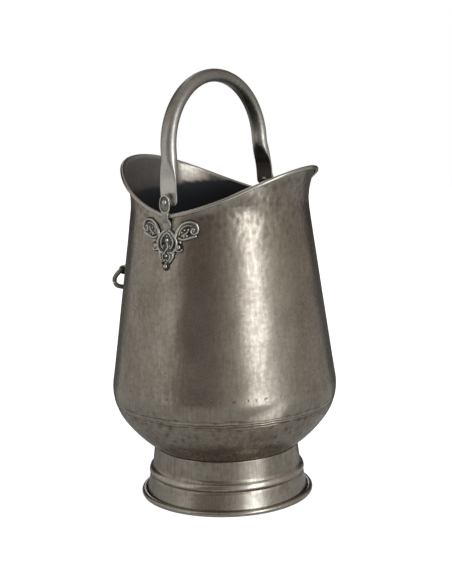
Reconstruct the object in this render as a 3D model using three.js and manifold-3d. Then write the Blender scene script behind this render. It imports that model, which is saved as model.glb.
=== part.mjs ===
// Helmet coal scuttle of hammered sheet metal: a belly-shaped bucket with a saddle-cut, flared and wired
// mouth, a spun foot, an arched carrying handle on two cast scroll brackets, and a small drop handle at
// the back for tipping. Millimetres, +Z up. The origin is at the centre of the foot, on the floor.
// The spout looks to -Y, the tipping handle to +Y, and the carrying handle turns about the X direction.
import * as THREE from "three";
import { mergeVertices } from "three/addons/utils/BufferGeometryUtils.js";
import Module from "manifold-3d";

const wasm = await Module();
wasm.setup();

// ---------------------------------------------------------------- driving dimensions (mm, degrees)
const sheet = 1.2; // thickness of the wall, the bowl and the foot
const seat = 0.3; // gap left where one piece sits on another
const facets = 36; // flats round each revolved piece

// Bucket
const bellyRadius = 150; // outside, at the widest level
const bellyArc = 70; // radius of the rounded belly
const bowlArc = 165; // radius of the flatter bowl below it
const bowlStart = 35; // slope at which the bowl takes over from the belly
const floorArc = 60; // radius between the bowl and its flat floor
const taper = 7.94; // lean of the straight wall
const taperHeight = 235; // belly level up to where the mouth starts to flare
const flareArc = 90; // radius of the flared mouth
const mouthAboveTaper = 7; // foot of the flare up to the mouth's edge at the ears, its lowest points
const spoutRise = 54; // how far the spout stands above the ears
const backRise = 57.5; // how far the back lip stands above the ears
const saddleStraight = 0.5; // share of the climb from ears to lips that is steady
const saddlePower = 2.6; // how late the rest of the climb comes
const rimWireRadius = 1.2;
const seamDrop = 17.5; // belly level down to the seam between wall and bowl
const seamLap = 8; // how far the bowl reaches up inside the wall

// Foot
const footHeight = 69.5; // floor up to where the foot meets the bowl
const footTopRadius = 96.5;
const footFlange = 8; // width of the turned-in top edge under the bowl
const stepHeight = 35; // middle of the raised ring round the foot
const stepRadius = 105.2;
const stepWidth = 15; // height of the raised ring's whole swell
const stepProud = 2.4; // how far the ring stands out of the foot's slope
const footLean = 0.22; // how much wider the foot gets for its height, across the ring
const footBaseRadius = 109.2; // where the foot turns into its rolled edge
const footWireRadius = 2.5;
const footFlat = 0.8; // depth of the rolled edge worn away to a flat that it stands on

// Rolled edges
const rollGap = 0.35; // slack between a wire and the sheet rolled round it
const rollSteps = 6;

// Carrying handle
const pivotAboveRim = 19; // low point of the mouth's edge up to the handle's pins
const strapInsideRim = 5.25; // middle of the rolled edge in to the middle of each flattened end
const archDrawIn = 7; // middle of each flattened end in to the tube where the arch starts
const archStart = 59; // pins up to the start of the arch
const archHeight = 90; // start of the arch up to the middle of the tube at the top
const handleLean = 3.5; // the handle stands this far towards the back
const tubeThick = 17; // oval tube, across the arch
const tubeWide = 21.5; // oval tube, front to back
const tubeWall = 1.5;
const strapThick = 3.6;
const strapWide = 24.5;
const strapSlit = 0.5; // left between the tube's walls where it is pressed flat
const strapTop = 22; // pins up to where the flat starts to swell
const tubeBottom = 52; // pins up to where the tube is fully round
const strapEnd = 6; // pins down to the end of the flat
const strapTip = 0.55; // width left at that end, as a share of the flat's

// Ear brackets
const pinRadius = 2.6;
const pinHeadRadius = 3.8;
const pinHeadHeight = 2.4;
const washerRadius = 6.5;
const washerThick = 1.8;
const eyeWide = 16;
const eyeAbove = 10; // pins up to the top of the eye
const eyeBelow = 15.5; // pins down to the foot of the eye
const eyeThick = 8;
const stalkWide = 9;
const stalkThick = 4.2;
const scrollTop = 7; // edge at the ears down to the top of the scrollwork
const scrollDrop = 55; // top of the scrollwork down to the rivet at its tip
const scrollSpan = 88; // across both wings
const wingSquash = 0.79; // height of a wing as a share of its width
const curlStart = 205; // heading at which a wing's curl leaves the drop
const curlTurn = 400; // how far it turns before it ends
const scrollThick = 2.4; // cast plate behind the scrolls
const dropHeight = 34; // the pointed drop in the middle
const dropWide = 31;

// Rivets
const rivetRadius = 1.7;
const rivetHeadRadius = 3.1;
const rivetHeadHeight = 2;
const rivetTailHeight = 1;
const rivetClearance = 0.3;
const rivetBoss = 1.2; // how far the casting reaches past a rivet's head

// Tipping handle
const lugBelowMouth = 92; // mouth's edge at the ears down to the tipping handle's pins
const lugSpan = 38; // middle of the bucket to the middle of each lug
const lugThick = 8;
const lugReach = 9; // wall to the centre of the eye
const lugRadius = 6.2;
const lugPadTall = 27;
const lugPadWide = 9.6;
const lugPadThick = 2;
const bailWireRadius = 3.2;
const bailClearance = 0.5; // between the bail and the lug's hole, and beside the lug
const bailDrop = 24; // pins down to the middle of the grip
const bailBend = 4.2; // radius of the bends outside the lugs
const bailBow = 10; // how far the sides swell away from the wall
const bailHeadRadius = 4.4;
const bailHeadThick = 2;

// ---------------------------------------------------------------- geometry helpers
const rad = THREE.MathUtils.degToRad;
const point = (x, y, z) => new THREE.Vector3(x, y, z);
const flat = (r, z) => new THREE.Vector2(r, z);

// A geometry of merged corners with no collapsed triangles, turned so that its faces point outwards.
function closed(geometry) {
  const bare = new THREE.BufferGeometry();
  bare.setAttribute("position", geometry.getAttribute("position").clone());
  if (geometry.index) bare.setIndex(geometry.index.clone());
  const merged = mergeVertices(bare, 1e-4);
  const at = merged.getAttribute("position");
  const corners = merged.index.array;
  const kept = [];
  const [a, b, c] = [point(), point(), point()];
  let volume = 0;
  for (let i = 0; i < corners.length; i += 3) {
    const [p, q, r] = corners.slice(i, i + 3);
    if (p === q || q === r || r === p) continue;
    kept.push(p, q, r);
    const across = b.fromBufferAttribute(at, q).cross(c.fromBufferAttribute(at, r));
    volume += a.fromBufferAttribute(at, p).dot(across);
  }
  merged.setIndex(volume < 0 ? kept.reverse() : kept);
  return merged;
}

// The skin over a list of rings of equal point count. A looped skin joins its last ring to its first;
// any other is closed with a flat cap at each end.
function skin(rings, looped = false) {
  const n = rings[0].length;
  const corners = [];
  const spans = looped ? rings.length : rings.length - 1;
  for (let i = 0; i < spans; i++) {
    const here = i * n;
    const next = ((i + 1) % rings.length) * n;
    for (let k = 0; k < n; k++) {
      const m = (k + 1) % n;
      corners.push(here + k, next + k, next + m, here + k, next + m, here + m);
    }
  }
  if (!looped) {
    const end = (rings.length - 1) * n;
    for (let k = 1; k < n - 1; k++) corners.push(0, k, k + 1, end, end + k + 1, end + k);
  }
  const geometry = new THREE.BufferGeometry().setFromPoints(rings.flat());
  geometry.setIndex(corners);
  return closed(geometry);
}

// A revolved piece whose section, a closed loop of (radius, height), may change with the angle.
function revolved(sectionAt) {
  const rings = [];
  for (let i = 0; i < facets; i++) {
    const angle = (2 * Math.PI * i) / facets;
    const ring = sectionAt(angle).map((p) => point(p.x * Math.cos(angle), p.x * Math.sin(angle), p.y));
    rings.push(ring);
  }
  return skin(rings, true);
}

// The section of a sheet: one face as given, the other a sheet's thickness to its left.
function sheetSection(face) {
  const back = face.map((p, i) => {
    const before = face[Math.max(i - 1, 0)];
    const after = face[Math.min(i + 1, face.length - 1)];
    const into = (i === 0 ? after.clone().sub(p) : p.clone().sub(before)).normalize();
    const out = (i === face.length - 1 ? into : after.clone().sub(p)).clone().normalize();
    const along = into.clone().add(out).normalize();
    const reach = sheet / Math.max(along.dot(into), 0.5);
    const moved = flat(p.x - along.y * reach, p.y + along.x * reach);
    if (p.x === 0) moved.x = 0;
    return moved;
  });
  return [...face, ...back.reverse()];
}

// Points on an arc; angles are in radians from the +radius direction, and the ends are included.
function arc(centre, radius, from, to, steps) {
  const points = [];
  for (let i = 0; i <= steps; i++) {
    const angle = from + ((to - from) * i) / steps;
    points.push(flat(centre.x + radius * Math.cos(angle), centre.y + radius * Math.sin(angle)));
  }
  return points;
}

function solid(geometry) {
  const ready = closed(geometry);
  return new wasm.Manifold(
    new wasm.Mesh({
      numProp: 3,
      vertProperties: new Float32Array(ready.getAttribute("position").array),
      triVerts: new Uint32Array(ready.index.array),
    }),
  );
}

function fromSolid(body) {
  const mesh = body.getMesh();
  const geometry = new THREE.BufferGeometry();
  geometry.setAttribute("position", new THREE.BufferAttribute(mesh.vertProperties, 3));
  geometry.setIndex(new THREE.BufferAttribute(mesh.triVerts, 1));
  return geometry;
}

// A round bar from one point to another, whose flats lie at the radius given.
function bar(from, to, inside, sides = 12) {
  const radius = inside / Math.cos(Math.PI / sides);
  const along = to.clone().sub(from);
  const geometry = new THREE.CylinderGeometry(radius, radius, along.length(), sides);
  const turn = new THREE.Quaternion().setFromUnitVectors(point(0, 1, 0), along.clone().normalize());
  geometry.applyQuaternion(turn);
  const middle = from.clone().add(to).multiplyScalar(0.5);
  return geometry.translate(middle.x, middle.y, middle.z);
}

const smooth = (t) => THREE.MathUtils.smoothstep(t, 0, 1);

// ---------------------------------------------------------------- the bucket's outer profile
// Heights in this section are measured from the belly level, and become heights above the floor by
// adding bellyLevel. Slopes are angles from upright.
const bellyCentre = flat(bellyRadius - bellyArc, 0);
const mouthHeight = taperHeight + mouthAboveTaper;
const taperFoot = arc(bellyCentre, bellyArc, rad(taper), rad(taper), 1)[0];
const taperTop = flat(taperFoot.x - Math.tan(rad(taper)) * (taperHeight - taperFoot.y), taperHeight);
const flareCentre = flat(
  taperTop.x + flareArc * Math.cos(rad(taper)),
  taperTop.y + flareArc * Math.sin(rad(taper)),
);
const bowlTop = arc(bellyCentre, bellyArc, -rad(bowlStart), -rad(bowlStart), 1)[0];
const bowlCentre = flat(
  bowlTop.x - bowlArc * Math.cos(rad(bowlStart)),
  bowlTop.y + bowlArc * Math.sin(rad(bowlStart)),
);
const footSlope = Math.acos((footTopRadius - bowlCentre.x) / bowlArc);
const bowlFoot = arc(bowlCentre, bowlArc, -footSlope, -footSlope, 1)[0];
const floorCentre = flat(
  bowlFoot.x - floorArc * Math.cos(footSlope),
  bowlFoot.y + floorArc * Math.sin(footSlope),
);
const bellyLevel = footHeight - bowlFoot.y;

// Outside radius of the wall at a height above the belly level.
function wallRadius(height) {
  if (height > taperTop.y) {
    return flareCentre.x - Math.sqrt(flareArc ** 2 - (height - flareCentre.y) ** 2);
  }
  if (height > taperFoot.y) return taperFoot.x - Math.tan(rad(taper)) * (height - taperFoot.y);
  if (height > bowlTop.y) return bellyCentre.x + Math.sqrt(bellyArc ** 2 - height ** 2);
  return bowlCentre.x + Math.sqrt(bowlArc ** 2 - (height - bowlCentre.y) ** 2);
}

// Height of the mouth's edge round the bucket: lowest at the ears (on X), highest at spout and back.
function mouthEdge(angle) {
  const rise = Math.sin(angle) < 0 ? spoutRise : backRise;
  const away = Math.abs(Math.sin(angle));
  return mouthHeight + rise * THREE.MathUtils.lerp(away ** saddlePower, away, saddleStraight);
}

const raised = (points) => points.map((p) => flat(p.x, p.y + bellyLevel));

// ---------------------------------------------------------------- wall, wires, bowl and foot
const rimRoll = rimWireRadius + rollGap;
const footRoll = footWireRadius + rollGap;
const rimReach = rimRoll + sheet;
const footReach = footRoll + sheet;

// How far a roll can turn before its end meets the sheet it grew from.
const rollSweep = (inside) => 2 * Math.PI - Math.acos((inside - seat) / (inside + sheet));

// Slope of the flare at the mouth's edge, and the centre of the wire rolled into that edge.
function mouthSlope(angle) {
  return Math.asin((mouthEdge(angle) - flareCentre.y) / flareArc);
}
function rimCentre(angle) {
  const slope = mouthSlope(angle);
  return flat(
    flareCentre.x - (flareArc - rimRoll) * Math.cos(slope),
    flareCentre.y + (flareArc - rimRoll) * Math.sin(slope),
  );
}

function wallFace(angle) {
  const seamSlope = Math.asin(seamDrop / bellyArc);
  const slope = mouthSlope(angle);
  const belly = arc(bellyCentre, bellyArc, -seamSlope, rad(taper), 3);
  const flare = arc(flareCentre, flareArc, Math.PI + rad(taper), Math.PI - slope, 4);
  const start = Math.PI - slope;
  const roll = arc(rimCentre(angle), rimRoll, start, start - rollSweep(rimRoll), rollSteps);
  return raised([...belly, ...flare, ...roll.slice(1)]);
}

function bodyWall(drills) {
  let wall = solid(revolved((angle) => sheetSection(wallFace(angle))));
  for (const drill of drills) wall = wall.subtract(solid(drill));
  return fromSolid(wall);
}

function wireRing(centreAt, radius) {
  return revolved((angle) => arc(centreAt(angle), radius, 0, 2 * Math.PI, 5).slice(1));
}

function bottomBowl() {
  const inset = sheet + seat;
  const lap = [seamLap - seamDrop, -seamDrop - seat].map((h) => flat(wallRadius(h) - inset, h));
  const seamSlope = Math.asin((seamDrop + seat + sheet) / bellyArc);
  const belly = arc(bellyCentre, bellyArc, -seamSlope, -rad(bowlStart), 1);
  const bowl = arc(bowlCentre, bowlArc, -rad(bowlStart), -footSlope, 3).slice(1);
  const turn = arc(floorCentre, floorArc, -footSlope, -Math.PI / 2, 2).slice(1);
  const middle = flat(0, turn.at(-1).y);
  const face = raised([...lap, ...belly, ...bowl, ...turn, middle]).reverse();
  return revolved(() => sheetSection(face));
}

const footWireCentre = flat(footBaseRadius + footRoll, footReach - footFlat);

// The foot's outside: the flange under the bowl, the slope, the raised ring, and the edge rolled up
// outwards round its wire.
function footFace() {
  const under = bowlArc + seat;
  const flangeSlope = Math.acos((footTopRadius - footFlange - bowlCentre.x) / under);
  const topSlope = Math.acos((footTopRadius - bowlCentre.x) / under);
  const flange = raised(arc(bowlCentre, under, -flangeSlope, -topSlope, 2));
  const ring = [];
  for (const share of [0.5, 0.25, 0, -0.25, -0.5]) {
    const swell = stepProud * Math.cos(Math.PI * share) ** 2;
    const lean = -share * stepWidth * footLean;
    ring.push(flat(stepRadius - stepProud + swell + lean, stepHeight + share * stepWidth));
  }
  const sweep = rollSweep(footRoll);
  const roll = arc(footWireCentre, footRoll, Math.PI, Math.PI + sweep, rollSteps);
  return [...flange, ...ring, ...roll];
}

function footRing() {
  const section = sheetSection(footFace().reverse());
  return revolved(() => section.map((p) => flat(p.x, Math.max(p.y, 0))));
}

// ---------------------------------------------------------------- places on the wall
// A point u round the wall from a heading, at a height above the floor, lifted off the outside.
function onWall(heading, u, z, lift) {
  const radius = wallRadius(z - bellyLevel);
  const angle = heading + u / radius;
  return point((radius + lift) * Math.cos(angle), (radius + lift) * Math.sin(angle), z);
}

// Square to the wall at such a place, pointing out.
function outOfWall(heading, u, z) {
  const angle = heading + u / wallRadius(z - bellyLevel);
  const lean = rad(taper);
  return point(Math.cos(lean) * Math.cos(angle), Math.cos(lean) * Math.sin(angle), Math.sin(lean));
}

// How far the flats of the wall lie inside its true round.
const flatSag = bellyRadius * (1 - Math.cos(Math.PI / facets));

// ---------------------------------------------------------------- rivets and washers
// A rivet lies along its own Y: the head's seat at zero, the shank going down through the grip.
function rivet(shank, head, height, grip, tail, tailHeight, sides = 8) {
  const dome = arc(flat(0, 0), 1, 0, Math.PI / 2, 2).map((p) => flat(p.x * head, p.y * height));
  dome.at(-1).x = 0;
  const profile = [
    flat(0, -grip - tailHeight),
    flat(tail * 0.8, -grip - tailHeight),
    flat(tail, -grip),
    flat(shank, -grip),
    flat(shank, 0),
    ...dome,
  ];
  return closed(new THREE.LatheGeometry(profile, sides));
}

function placeAlong(mesh, position, direction) {
  mesh.position.copy(position);
  mesh.quaternion.setFromUnitVectors(point(0, 1, 0), direction);
  return mesh;
}

// A rivet through a plate of the given thickness and the wall, and the drill for its hole.
function wallRivet(heading, u, z, plate) {
  const out = outOfWall(heading, u, z);
  const foot = onWall(heading, u, z, 0);
  const headSeat = foot.clone().addScaledVector(out, plate + 2 * seat);
  const grip = plate + 3 * seat + sheet + flatSag;
  const head = rivetHeadRadius;
  const geometry = rivet(rivetRadius, head, rivetHeadHeight, grip, head, rivetTailHeight);
  const drill = bar(
    foot.clone().addScaledVector(out, -4 * sheet),
    foot.clone().addScaledVector(out, 4 * plate),
    rivetRadius + rivetClearance,
    8,
  );
  return { geometry, headSeat, out, drill };
}

// ---------------------------------------------------------------- carrying handle
const rimLow = bellyLevel + mouthHeight;
const pivotHeight = rimLow + pivotAboveRim;
const strapSpan = rimCentre(0).x - strapInsideRim;
const archSpan = strapSpan - archDrawIn;
const legShare = 0.42; // share of each side's length that its leg takes, the rest being the arch

// Middle line of one side of the handle in its own plane, x outwards and y up from the pins. It runs
// straight up the flattened end, leans in to the arch, and follows half an ellipse to the top.
function handleMiddle(share) {
  if (share < legShare) {
    const up = THREE.MathUtils.mapLinear(share, 0, legShare, -strapEnd, archStart);
    const lean = smooth((up - strapTop / 2) / (archStart - strapTop / 2));
    return flat(THREE.MathUtils.lerp(strapSpan, archSpan, lean), up);
  }
  const angle = ((share - legShare) / (1 - legShare)) * (Math.PI / 2);
  return flat(archSpan * Math.cos(angle), archStart + archHeight * Math.sin(angle));
}

// One section of the handle: a superellipse, oval on the arch and a flat strap at the ends.
function handleSection(share, inset, sides) {
  const middle = handleMiddle(share);
  const ahead = handleMiddle(Math.min(share + 0.01, 1));
  const behind = handleMiddle(Math.max(share - 0.01, 0));
  const along = share === 1 ? flat(-1, 0) : ahead.sub(behind).normalize();
  const round = smooth((middle.y - strapTop) / (tubeBottom - strapTop));
  const end = THREE.MathUtils.clamp((middle.y + strapEnd) / strapEnd, 0, 1);
  const tip = THREE.MathUtils.lerp(strapTip, 1, Math.sqrt(1 - (1 - end) ** 2));
  const half = inset
    ? [THREE.MathUtils.lerp(strapSlit, tubeThick - 2 * tubeWall, round) / 2, -tubeWall]
    : [THREE.MathUtils.lerp(strapThick, tubeThick, round) / 2, 0];
  const wide = (THREE.MathUtils.lerp(strapWide, tubeWide, round) / 2 + half[1]) * tip;
  const power = THREE.MathUtils.lerp(5, 2, round);
  const ring = [];
  for (let k = 0; k < sides; k++) {
    const turn = (2 * Math.PI * (k + 0.5)) / sides;
    const across = half[0] * Math.sign(Math.cos(turn)) * Math.abs(Math.cos(turn)) ** (2 / power);
    const sideways = wide * Math.sign(Math.sin(turn)) * Math.abs(Math.sin(turn)) ** (2 / power);
    ring.push(point(middle.x + along.y * across, sideways, middle.y - along.x * across));
  }
  return ring;
}

function carryHandle() {
  const shares = [0, 0.015, 0.04, 0.18, 0.24, 0.3, 0.36, legShare, 0.5, 0.6, 0.7, 0.8, 0.9];
  const sides = 12;
  const side = (inset) => shares.map((share) => handleSection(share, inset, sides));
  const mirrored = (rings) => rings.map((ring) => ring.map((p) => point(-p.x, p.y, p.z))).reverse();
  const whole = (inset) => {
    const half = side(inset);
    return [...half, handleSection(1, inset, sides), ...mirrored(half)];
  };
  const tube = skin([...whole(false), ...whole(true).reverse()], true);
  const hole = bar(point(-2 * strapSpan, 0, 0), point(2 * strapSpan, 0, 0), pinRadius + rivetClearance);
  return fromSolid(solid(tube).subtract(solid(hole)));
}

// ---------------------------------------------------------------- ear brackets
// Made for the ear on +X, in the bucket's frame; the other is the same casting turned half round.
const washerSeat = strapSpan + strapThick / 2 + seat / 2;
const eyeInside = washerSeat + washerThick + seat / 2;
const eyeOutside = eyeInside + eyeThick;
const rimOutside = rimCentre(0).x + rimReach;
const scrollHead = rimLow - scrollTop;

// The eye and the stalk that carries it over the mouth's edge and down on to the wall: a row of
// sections from the top of the eye to the head of the scrollwork.
function eyeAndStalk() {
  const rows = [];
  const eyeMiddle = pivotHeight + (eyeAbove - eyeBelow) / 2;
  const eyeTall = (eyeAbove + eyeBelow) / 2;
  const lowest = Math.asin(stalkWide / eyeWide);
  for (let i = 0; i <= 6; i++) {
    const angle = THREE.MathUtils.mapLinear(i, 0, 6, 0.12, Math.PI - lowest);
    const z = eyeMiddle + eyeTall * Math.cos(angle);
    rows.push([z, (eyeWide / 2) * Math.sin(angle), eyeInside, eyeOutside]);
  }
  const edge = rimCentre(0).y + bellyLevel;
  const over = rimOutside + 2 * seat;
  const wallAt = (z) => wallRadius(z - bellyLevel) + seat;
  const half = stalkWide / 2;
  rows.push([edge + rimReach * 1.2, half, over, Math.max(over + stalkThick, eyeOutside)]);
  rows.push([edge - rimReach * 1.2, half, over, over + stalkThick]);
  const landing = edge - rimReach * 2.2;
  rows.push([landing, half * 1.3, wallAt(landing) + seat, over + stalkThick * 0.8]);
  const foot = scrollHead - dropHeight * 0.25;
  rows.push([foot, half * 1.6, wallAt(foot) + seat, wallAt(foot) + scrollThick + stalkThick * 0.4]);
  const rings = rows.map(([z, wide, inside, outside]) => {
    const bevel = Math.min(wide * 0.35, (outside - inside) * 0.3);
    return [
      point(inside, -wide, z),
      point(outside - bevel, -wide, z),
      point(outside, -wide + bevel, z),
      point(outside, wide - bevel, z),
      point(outside - bevel, wide, z),
      point(inside, wide, z),
    ];
  });
  return skin(rings);
}

// A cast plate hugging the wall: a disc about (u, v) whose edge distance is a function of the angle.
// Heights v are measured from the head of the scrollwork.
function wallPlate(u, v, reach, thick, spokes = 10) {
  const place = (share, angle, lift) => {
    const distance = share * reach(angle);
    return onWall(0, u + distance * Math.cos(angle), scrollHead + v + distance * Math.sin(angle), lift);
  };
  const ring = (share, lift) =>
    Array.from({ length: spokes }, (_, k) => place(share, (2 * Math.PI * k) / spokes, lift));
  const levels = [
    [0, seat],
    [1, seat],
    [1, seat + thick * 0.7],
    [0.85, seat + thick],
    [0, seat + thick],
  ];
  return skin(levels.map(([share, lift]) => ring(share, lift)));
}

// A tapering cord of metal lying on the wall along a path of (u, v).
function wallScroll(path, radiusAt, steps, looped = false, sides = 4) {
  const rings = [];
  const count = looped ? steps : steps + 1;
  for (let i = 0; i < count; i++) {
    const share = i / steps;
    const here = path(share);
    const along = path(share + 0.01).sub(path(share - 0.01)).normalize();
    const radius = radiusAt(share);
    const ring = [];
    for (let k = 0; k < sides; k++) {
      const turn = (2 * Math.PI * k) / sides;
      const across = radius * Math.cos(turn);
      const lift = Math.max(seat + scrollThick * 0.6 + radius * (0.4 + Math.sin(turn)), seat);
      ring.push(onWall(0, here.x + along.y * across, scrollHead + here.y - along.x * across, lift));
    }
    rings.push(ring);
  }
  return skin(rings, looped);
}

// Half-widths and heights of the ornament, all from the span and the drop of the scrollwork.
const wingMiddle = flat(scrollSpan * 0.33, -scrollDrop * 0.15);
const wingRadius = scrollSpan / 2 - wingMiddle.x;
const dropMiddle = flat(0, -dropHeight * 0.57);
const rivetSpots = [
  { name: "tip", u: 0, v: -scrollDrop },
  { name: "front", u: -scrollSpan * 0.2, v: -scrollDrop * 0.55 },
  { name: "back", u: scrollSpan * 0.2, v: -scrollDrop * 0.55 },
];

// Outline of the pointed drop, from its point at the top round to it again.
function dropOutline(share) {
  const turn = 2 * Math.PI * share;
  const wide = (dropWide / 2) * Math.sin(turn) * Math.abs(Math.sin(turn / 2)) ** 1.2;
  return flat(wide, dropMiddle.y + (dropHeight / 2) * Math.cos(turn));
}

// A wing: out of the drop's shoulder, over the top and curling in on itself.
function wingCurl(side) {
  return (share) => {
    const turn = rad(curlStart - curlTurn * share);
    const radius = wingRadius * THREE.MathUtils.lerp(1.2, 0.22, share);
    const up = wingSquash * radius * Math.sin(turn);
    return flat(side * (wingMiddle.x + radius * Math.cos(turn)), wingMiddle.y + up);
  };
}

// How far a plate that is nearly an oval reaches from its middle, by heading.
function oval(wide, tall) {
  return (angle) => Math.hypot((wide / 2) * Math.cos(angle), (tall / 2) * Math.sin(angle));
}

function earBracket(drills) {
  const tail = (angle) => scrollDrop * (0.165 + 0.02 * Math.sin(angle));
  const innerDrop = (share) => dropOutline(share).sub(dropMiddle).multiplyScalar(0.5).add(dropMiddle);
  const parts = [
    eyeAndStalk(),
    wallPlate(0, dropMiddle.y, oval(dropWide, dropHeight * 1.1), scrollThick),
    wallPlate(0, -scrollDrop * 0.83, tail, scrollThick, 8),
    wallScroll(dropOutline, () => 1.5, 14, true),
    wallScroll(innerDrop, () => 1.2, 8, true),
  ];
  for (const side of [-1, 1]) {
    const wing = oval(wingRadius * 2, wingRadius * 2 * wingSquash);
    const bridge = oval(scrollDrop * 0.4, scrollDrop * 0.3);
    parts.push(wallPlate(side * wingMiddle.x, wingMiddle.y, wing, scrollThick * 0.8));
    parts.push(wallPlate(side * scrollSpan * 0.18, -scrollDrop * 0.39, bridge, scrollThick * 0.9, 8));
    parts.push(wallScroll(wingCurl(side), (share) => THREE.MathUtils.lerp(2.3, 1.4, share), 13));
  }
  for (const spot of rivetSpots) {
    parts.push(wallPlate(spot.u, spot.v, () => rivetHeadRadius + rivetBoss, scrollThick, 8));
  }
  const hole = pinRadius + rivetClearance;
  const pinHole = bar(point(strapSpan, 0, pivotHeight), point(2 * strapSpan, 0, pivotHeight), hole);
  let bracket = parts.map(solid).reduce((whole, part) => whole.add(part));
  for (const drill of [pinHole, ...drills]) bracket = bracket.subtract(solid(drill));
  return fromSolid(bracket);
}

// ---------------------------------------------------------------- tipping handle
const lugHeight = mouthHeight - lugBelowMouth;
const pinLevel = bellyLevel + lugHeight;
const lugWall = Math.sqrt(wallRadius(lugHeight) ** 2 - lugSpan ** 2);
const pinReach = lugWall + lugReach;
const lugHoleRadius = bailWireRadius + bailClearance;

// The bucket's outside swollen by the seat, to cut pieces to the wall.
function wallBlank() {
  const heights = [0, 0.25, 0.5, 0.75, 1].map((share) => THREE.MathUtils.lerp(0, taperHeight, share));
  const profile = [
    flat(0, bellyLevel),
    ...heights.map((h) => flat(wallRadius(h) + seat, h + bellyLevel)),
    flat(0, bellyLevel + taperHeight),
  ];
  return solid(new THREE.LatheGeometry(profile, 2 * facets).rotateX(Math.PI / 2));
}

// A lug on the right of the back: a pad on the wall and an eye standing off it along Y.
function backLug(drills) {
  const side = new THREE.Shape();
  side.absarc(pinReach, 0, lugRadius, -Math.PI / 2, Math.PI / 2, false);
  side.lineTo(lugWall - lugReach, lugRadius);
  side.lineTo(lugWall - lugReach, -lugRadius);
  const eye = new THREE.ExtrudeGeometry(side, { depth: lugThick, bevelEnabled: false, curveSegments: 6 });
  eye.rotateX(Math.PI / 2).rotateZ(Math.PI / 2);
  eye.translate(lugSpan - lugThick / 2, 0, pinLevel);
  const heading = Math.atan2(lugWall, lugSpan);
  const out = outOfWall(heading, 0, pinLevel);
  const pad = new THREE.BoxGeometry(2 * lugPadThick, lugPadWide, lugPadTall);
  pad.rotateY(-rad(taper)).rotateZ(heading);
  const middle = onWall(heading, 0, pinLevel, 0);
  pad.translate(middle.x, middle.y, middle.z);
  let lug = solid(eye).add(solid(pad)).subtract(wallBlank());
  const hole = bar(point(0, pinReach, pinLevel), point(2 * lugSpan, pinReach, pinLevel), lugHoleRadius);
  for (const drill of [hole, ...drills]) lug = lug.subtract(solid(drill));
  return fromSolid(lug);
}

// Middle line of the bail from one upset end to the other, hanging down with its grip by the wall: out
// through the lug, round a bend, down a side that swells away from the wall, and along the wall.
function bailPath() {
  const face = lugSpan + lugThick / 2 + bailClearance;
  const side = face + bailBend;
  const gripLevel = lugHeight - bailDrop;
  const grip = wallRadius(gripLevel) + bailWireRadius + flatSag + bailClearance;
  const gripAt = (x) => point(x, Math.sqrt(grip ** 2 - x ** 2), pinLevel - bailDrop);
  const end = lugSpan - lugThick / 2 - bailClearance - bailHeadThick;
  const bend = [0, 30, 60, 90].map((turn) => {
    const down = bailBend * (1 - Math.cos(rad(turn))) * Math.SQRT1_2;
    return point(face + bailBend * Math.sin(rad(turn)), pinReach + down, pinLevel - down);
  });
  const half = [
    point(end, pinReach, pinLevel),
    point(lugSpan, pinReach, pinLevel),
    ...bend,
    point(side + 0.5, pinReach + bailBow, pinLevel - bailDrop * 0.52),
    point(side, pinReach + bailBow * 0.75, pinLevel - bailDrop * 0.86),
    gripAt(side * 0.84),
    gripAt(side * 0.56),
    gripAt(side * 0.28),
  ];
  const mirrored = half.map((p) => point(-p.x, p.y, p.z)).reverse();
  return new THREE.CatmullRomCurve3([...half, gripAt(0), ...mirrored], false, "centripetal");
}

function tippingHandle() {
  const section = new THREE.Shape();
  section.absarc(0, 0, bailWireRadius, 0, 2 * Math.PI, false);
  const path = bailPath();
  const wire = new THREE.ExtrudeGeometry(section, { steps: 46, extrudePath: path, curveSegments: 5 });
  let bail = solid(wire);
  for (const side of [-1, 1]) {
    const { x, y, z } = path.getPoint(0);
    const head = bar(point(side * x, y, z), point(side * (x + bailHeadThick), y, z), bailHeadRadius);
    bail = bail.add(solid(head));
  }
  return fromSolid(bail);
}

// ---------------------------------------------------------------- assembly
const finish = {
  hammered: { color: 0x7b7268, roughness: 0.42, metalness: 0.9 },
  cast: { color: 0x5a554d, roughness: 0.5, metalness: 0.9 },
  worn: { color: 0x8a8276, roughness: 0.38, metalness: 0.9 },
};

function piece(name, geometry, kind) {
  const mesh = new THREE.Mesh(geometry, new THREE.MeshStandardMaterial(finish[kind]));
  mesh.name = name;
  return mesh;
}

const scuttle = new THREE.Group();
const ears = [
  { name: "right", heading: 0, spots: { tip: "tip", front: "front", back: "back" } },
  { name: "left", heading: Math.PI, spots: { tip: "tip", front: "back", back: "front" } },
];

// Rivets of the ears: made for the ear on +X and turned with it.
const earRivets = rivetSpots.map((spot) => ({
  name: spot.name,
  ...wallRivet(0, spot.u, scrollHead + spot.v, scrollThick),
}));
const pinGrip = eyeOutside - (strapSpan - strapThick / 2) + 2 * seat;
const turned = (geometry, heading) => geometry.clone().rotateZ(heading);
const drills = [];

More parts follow.
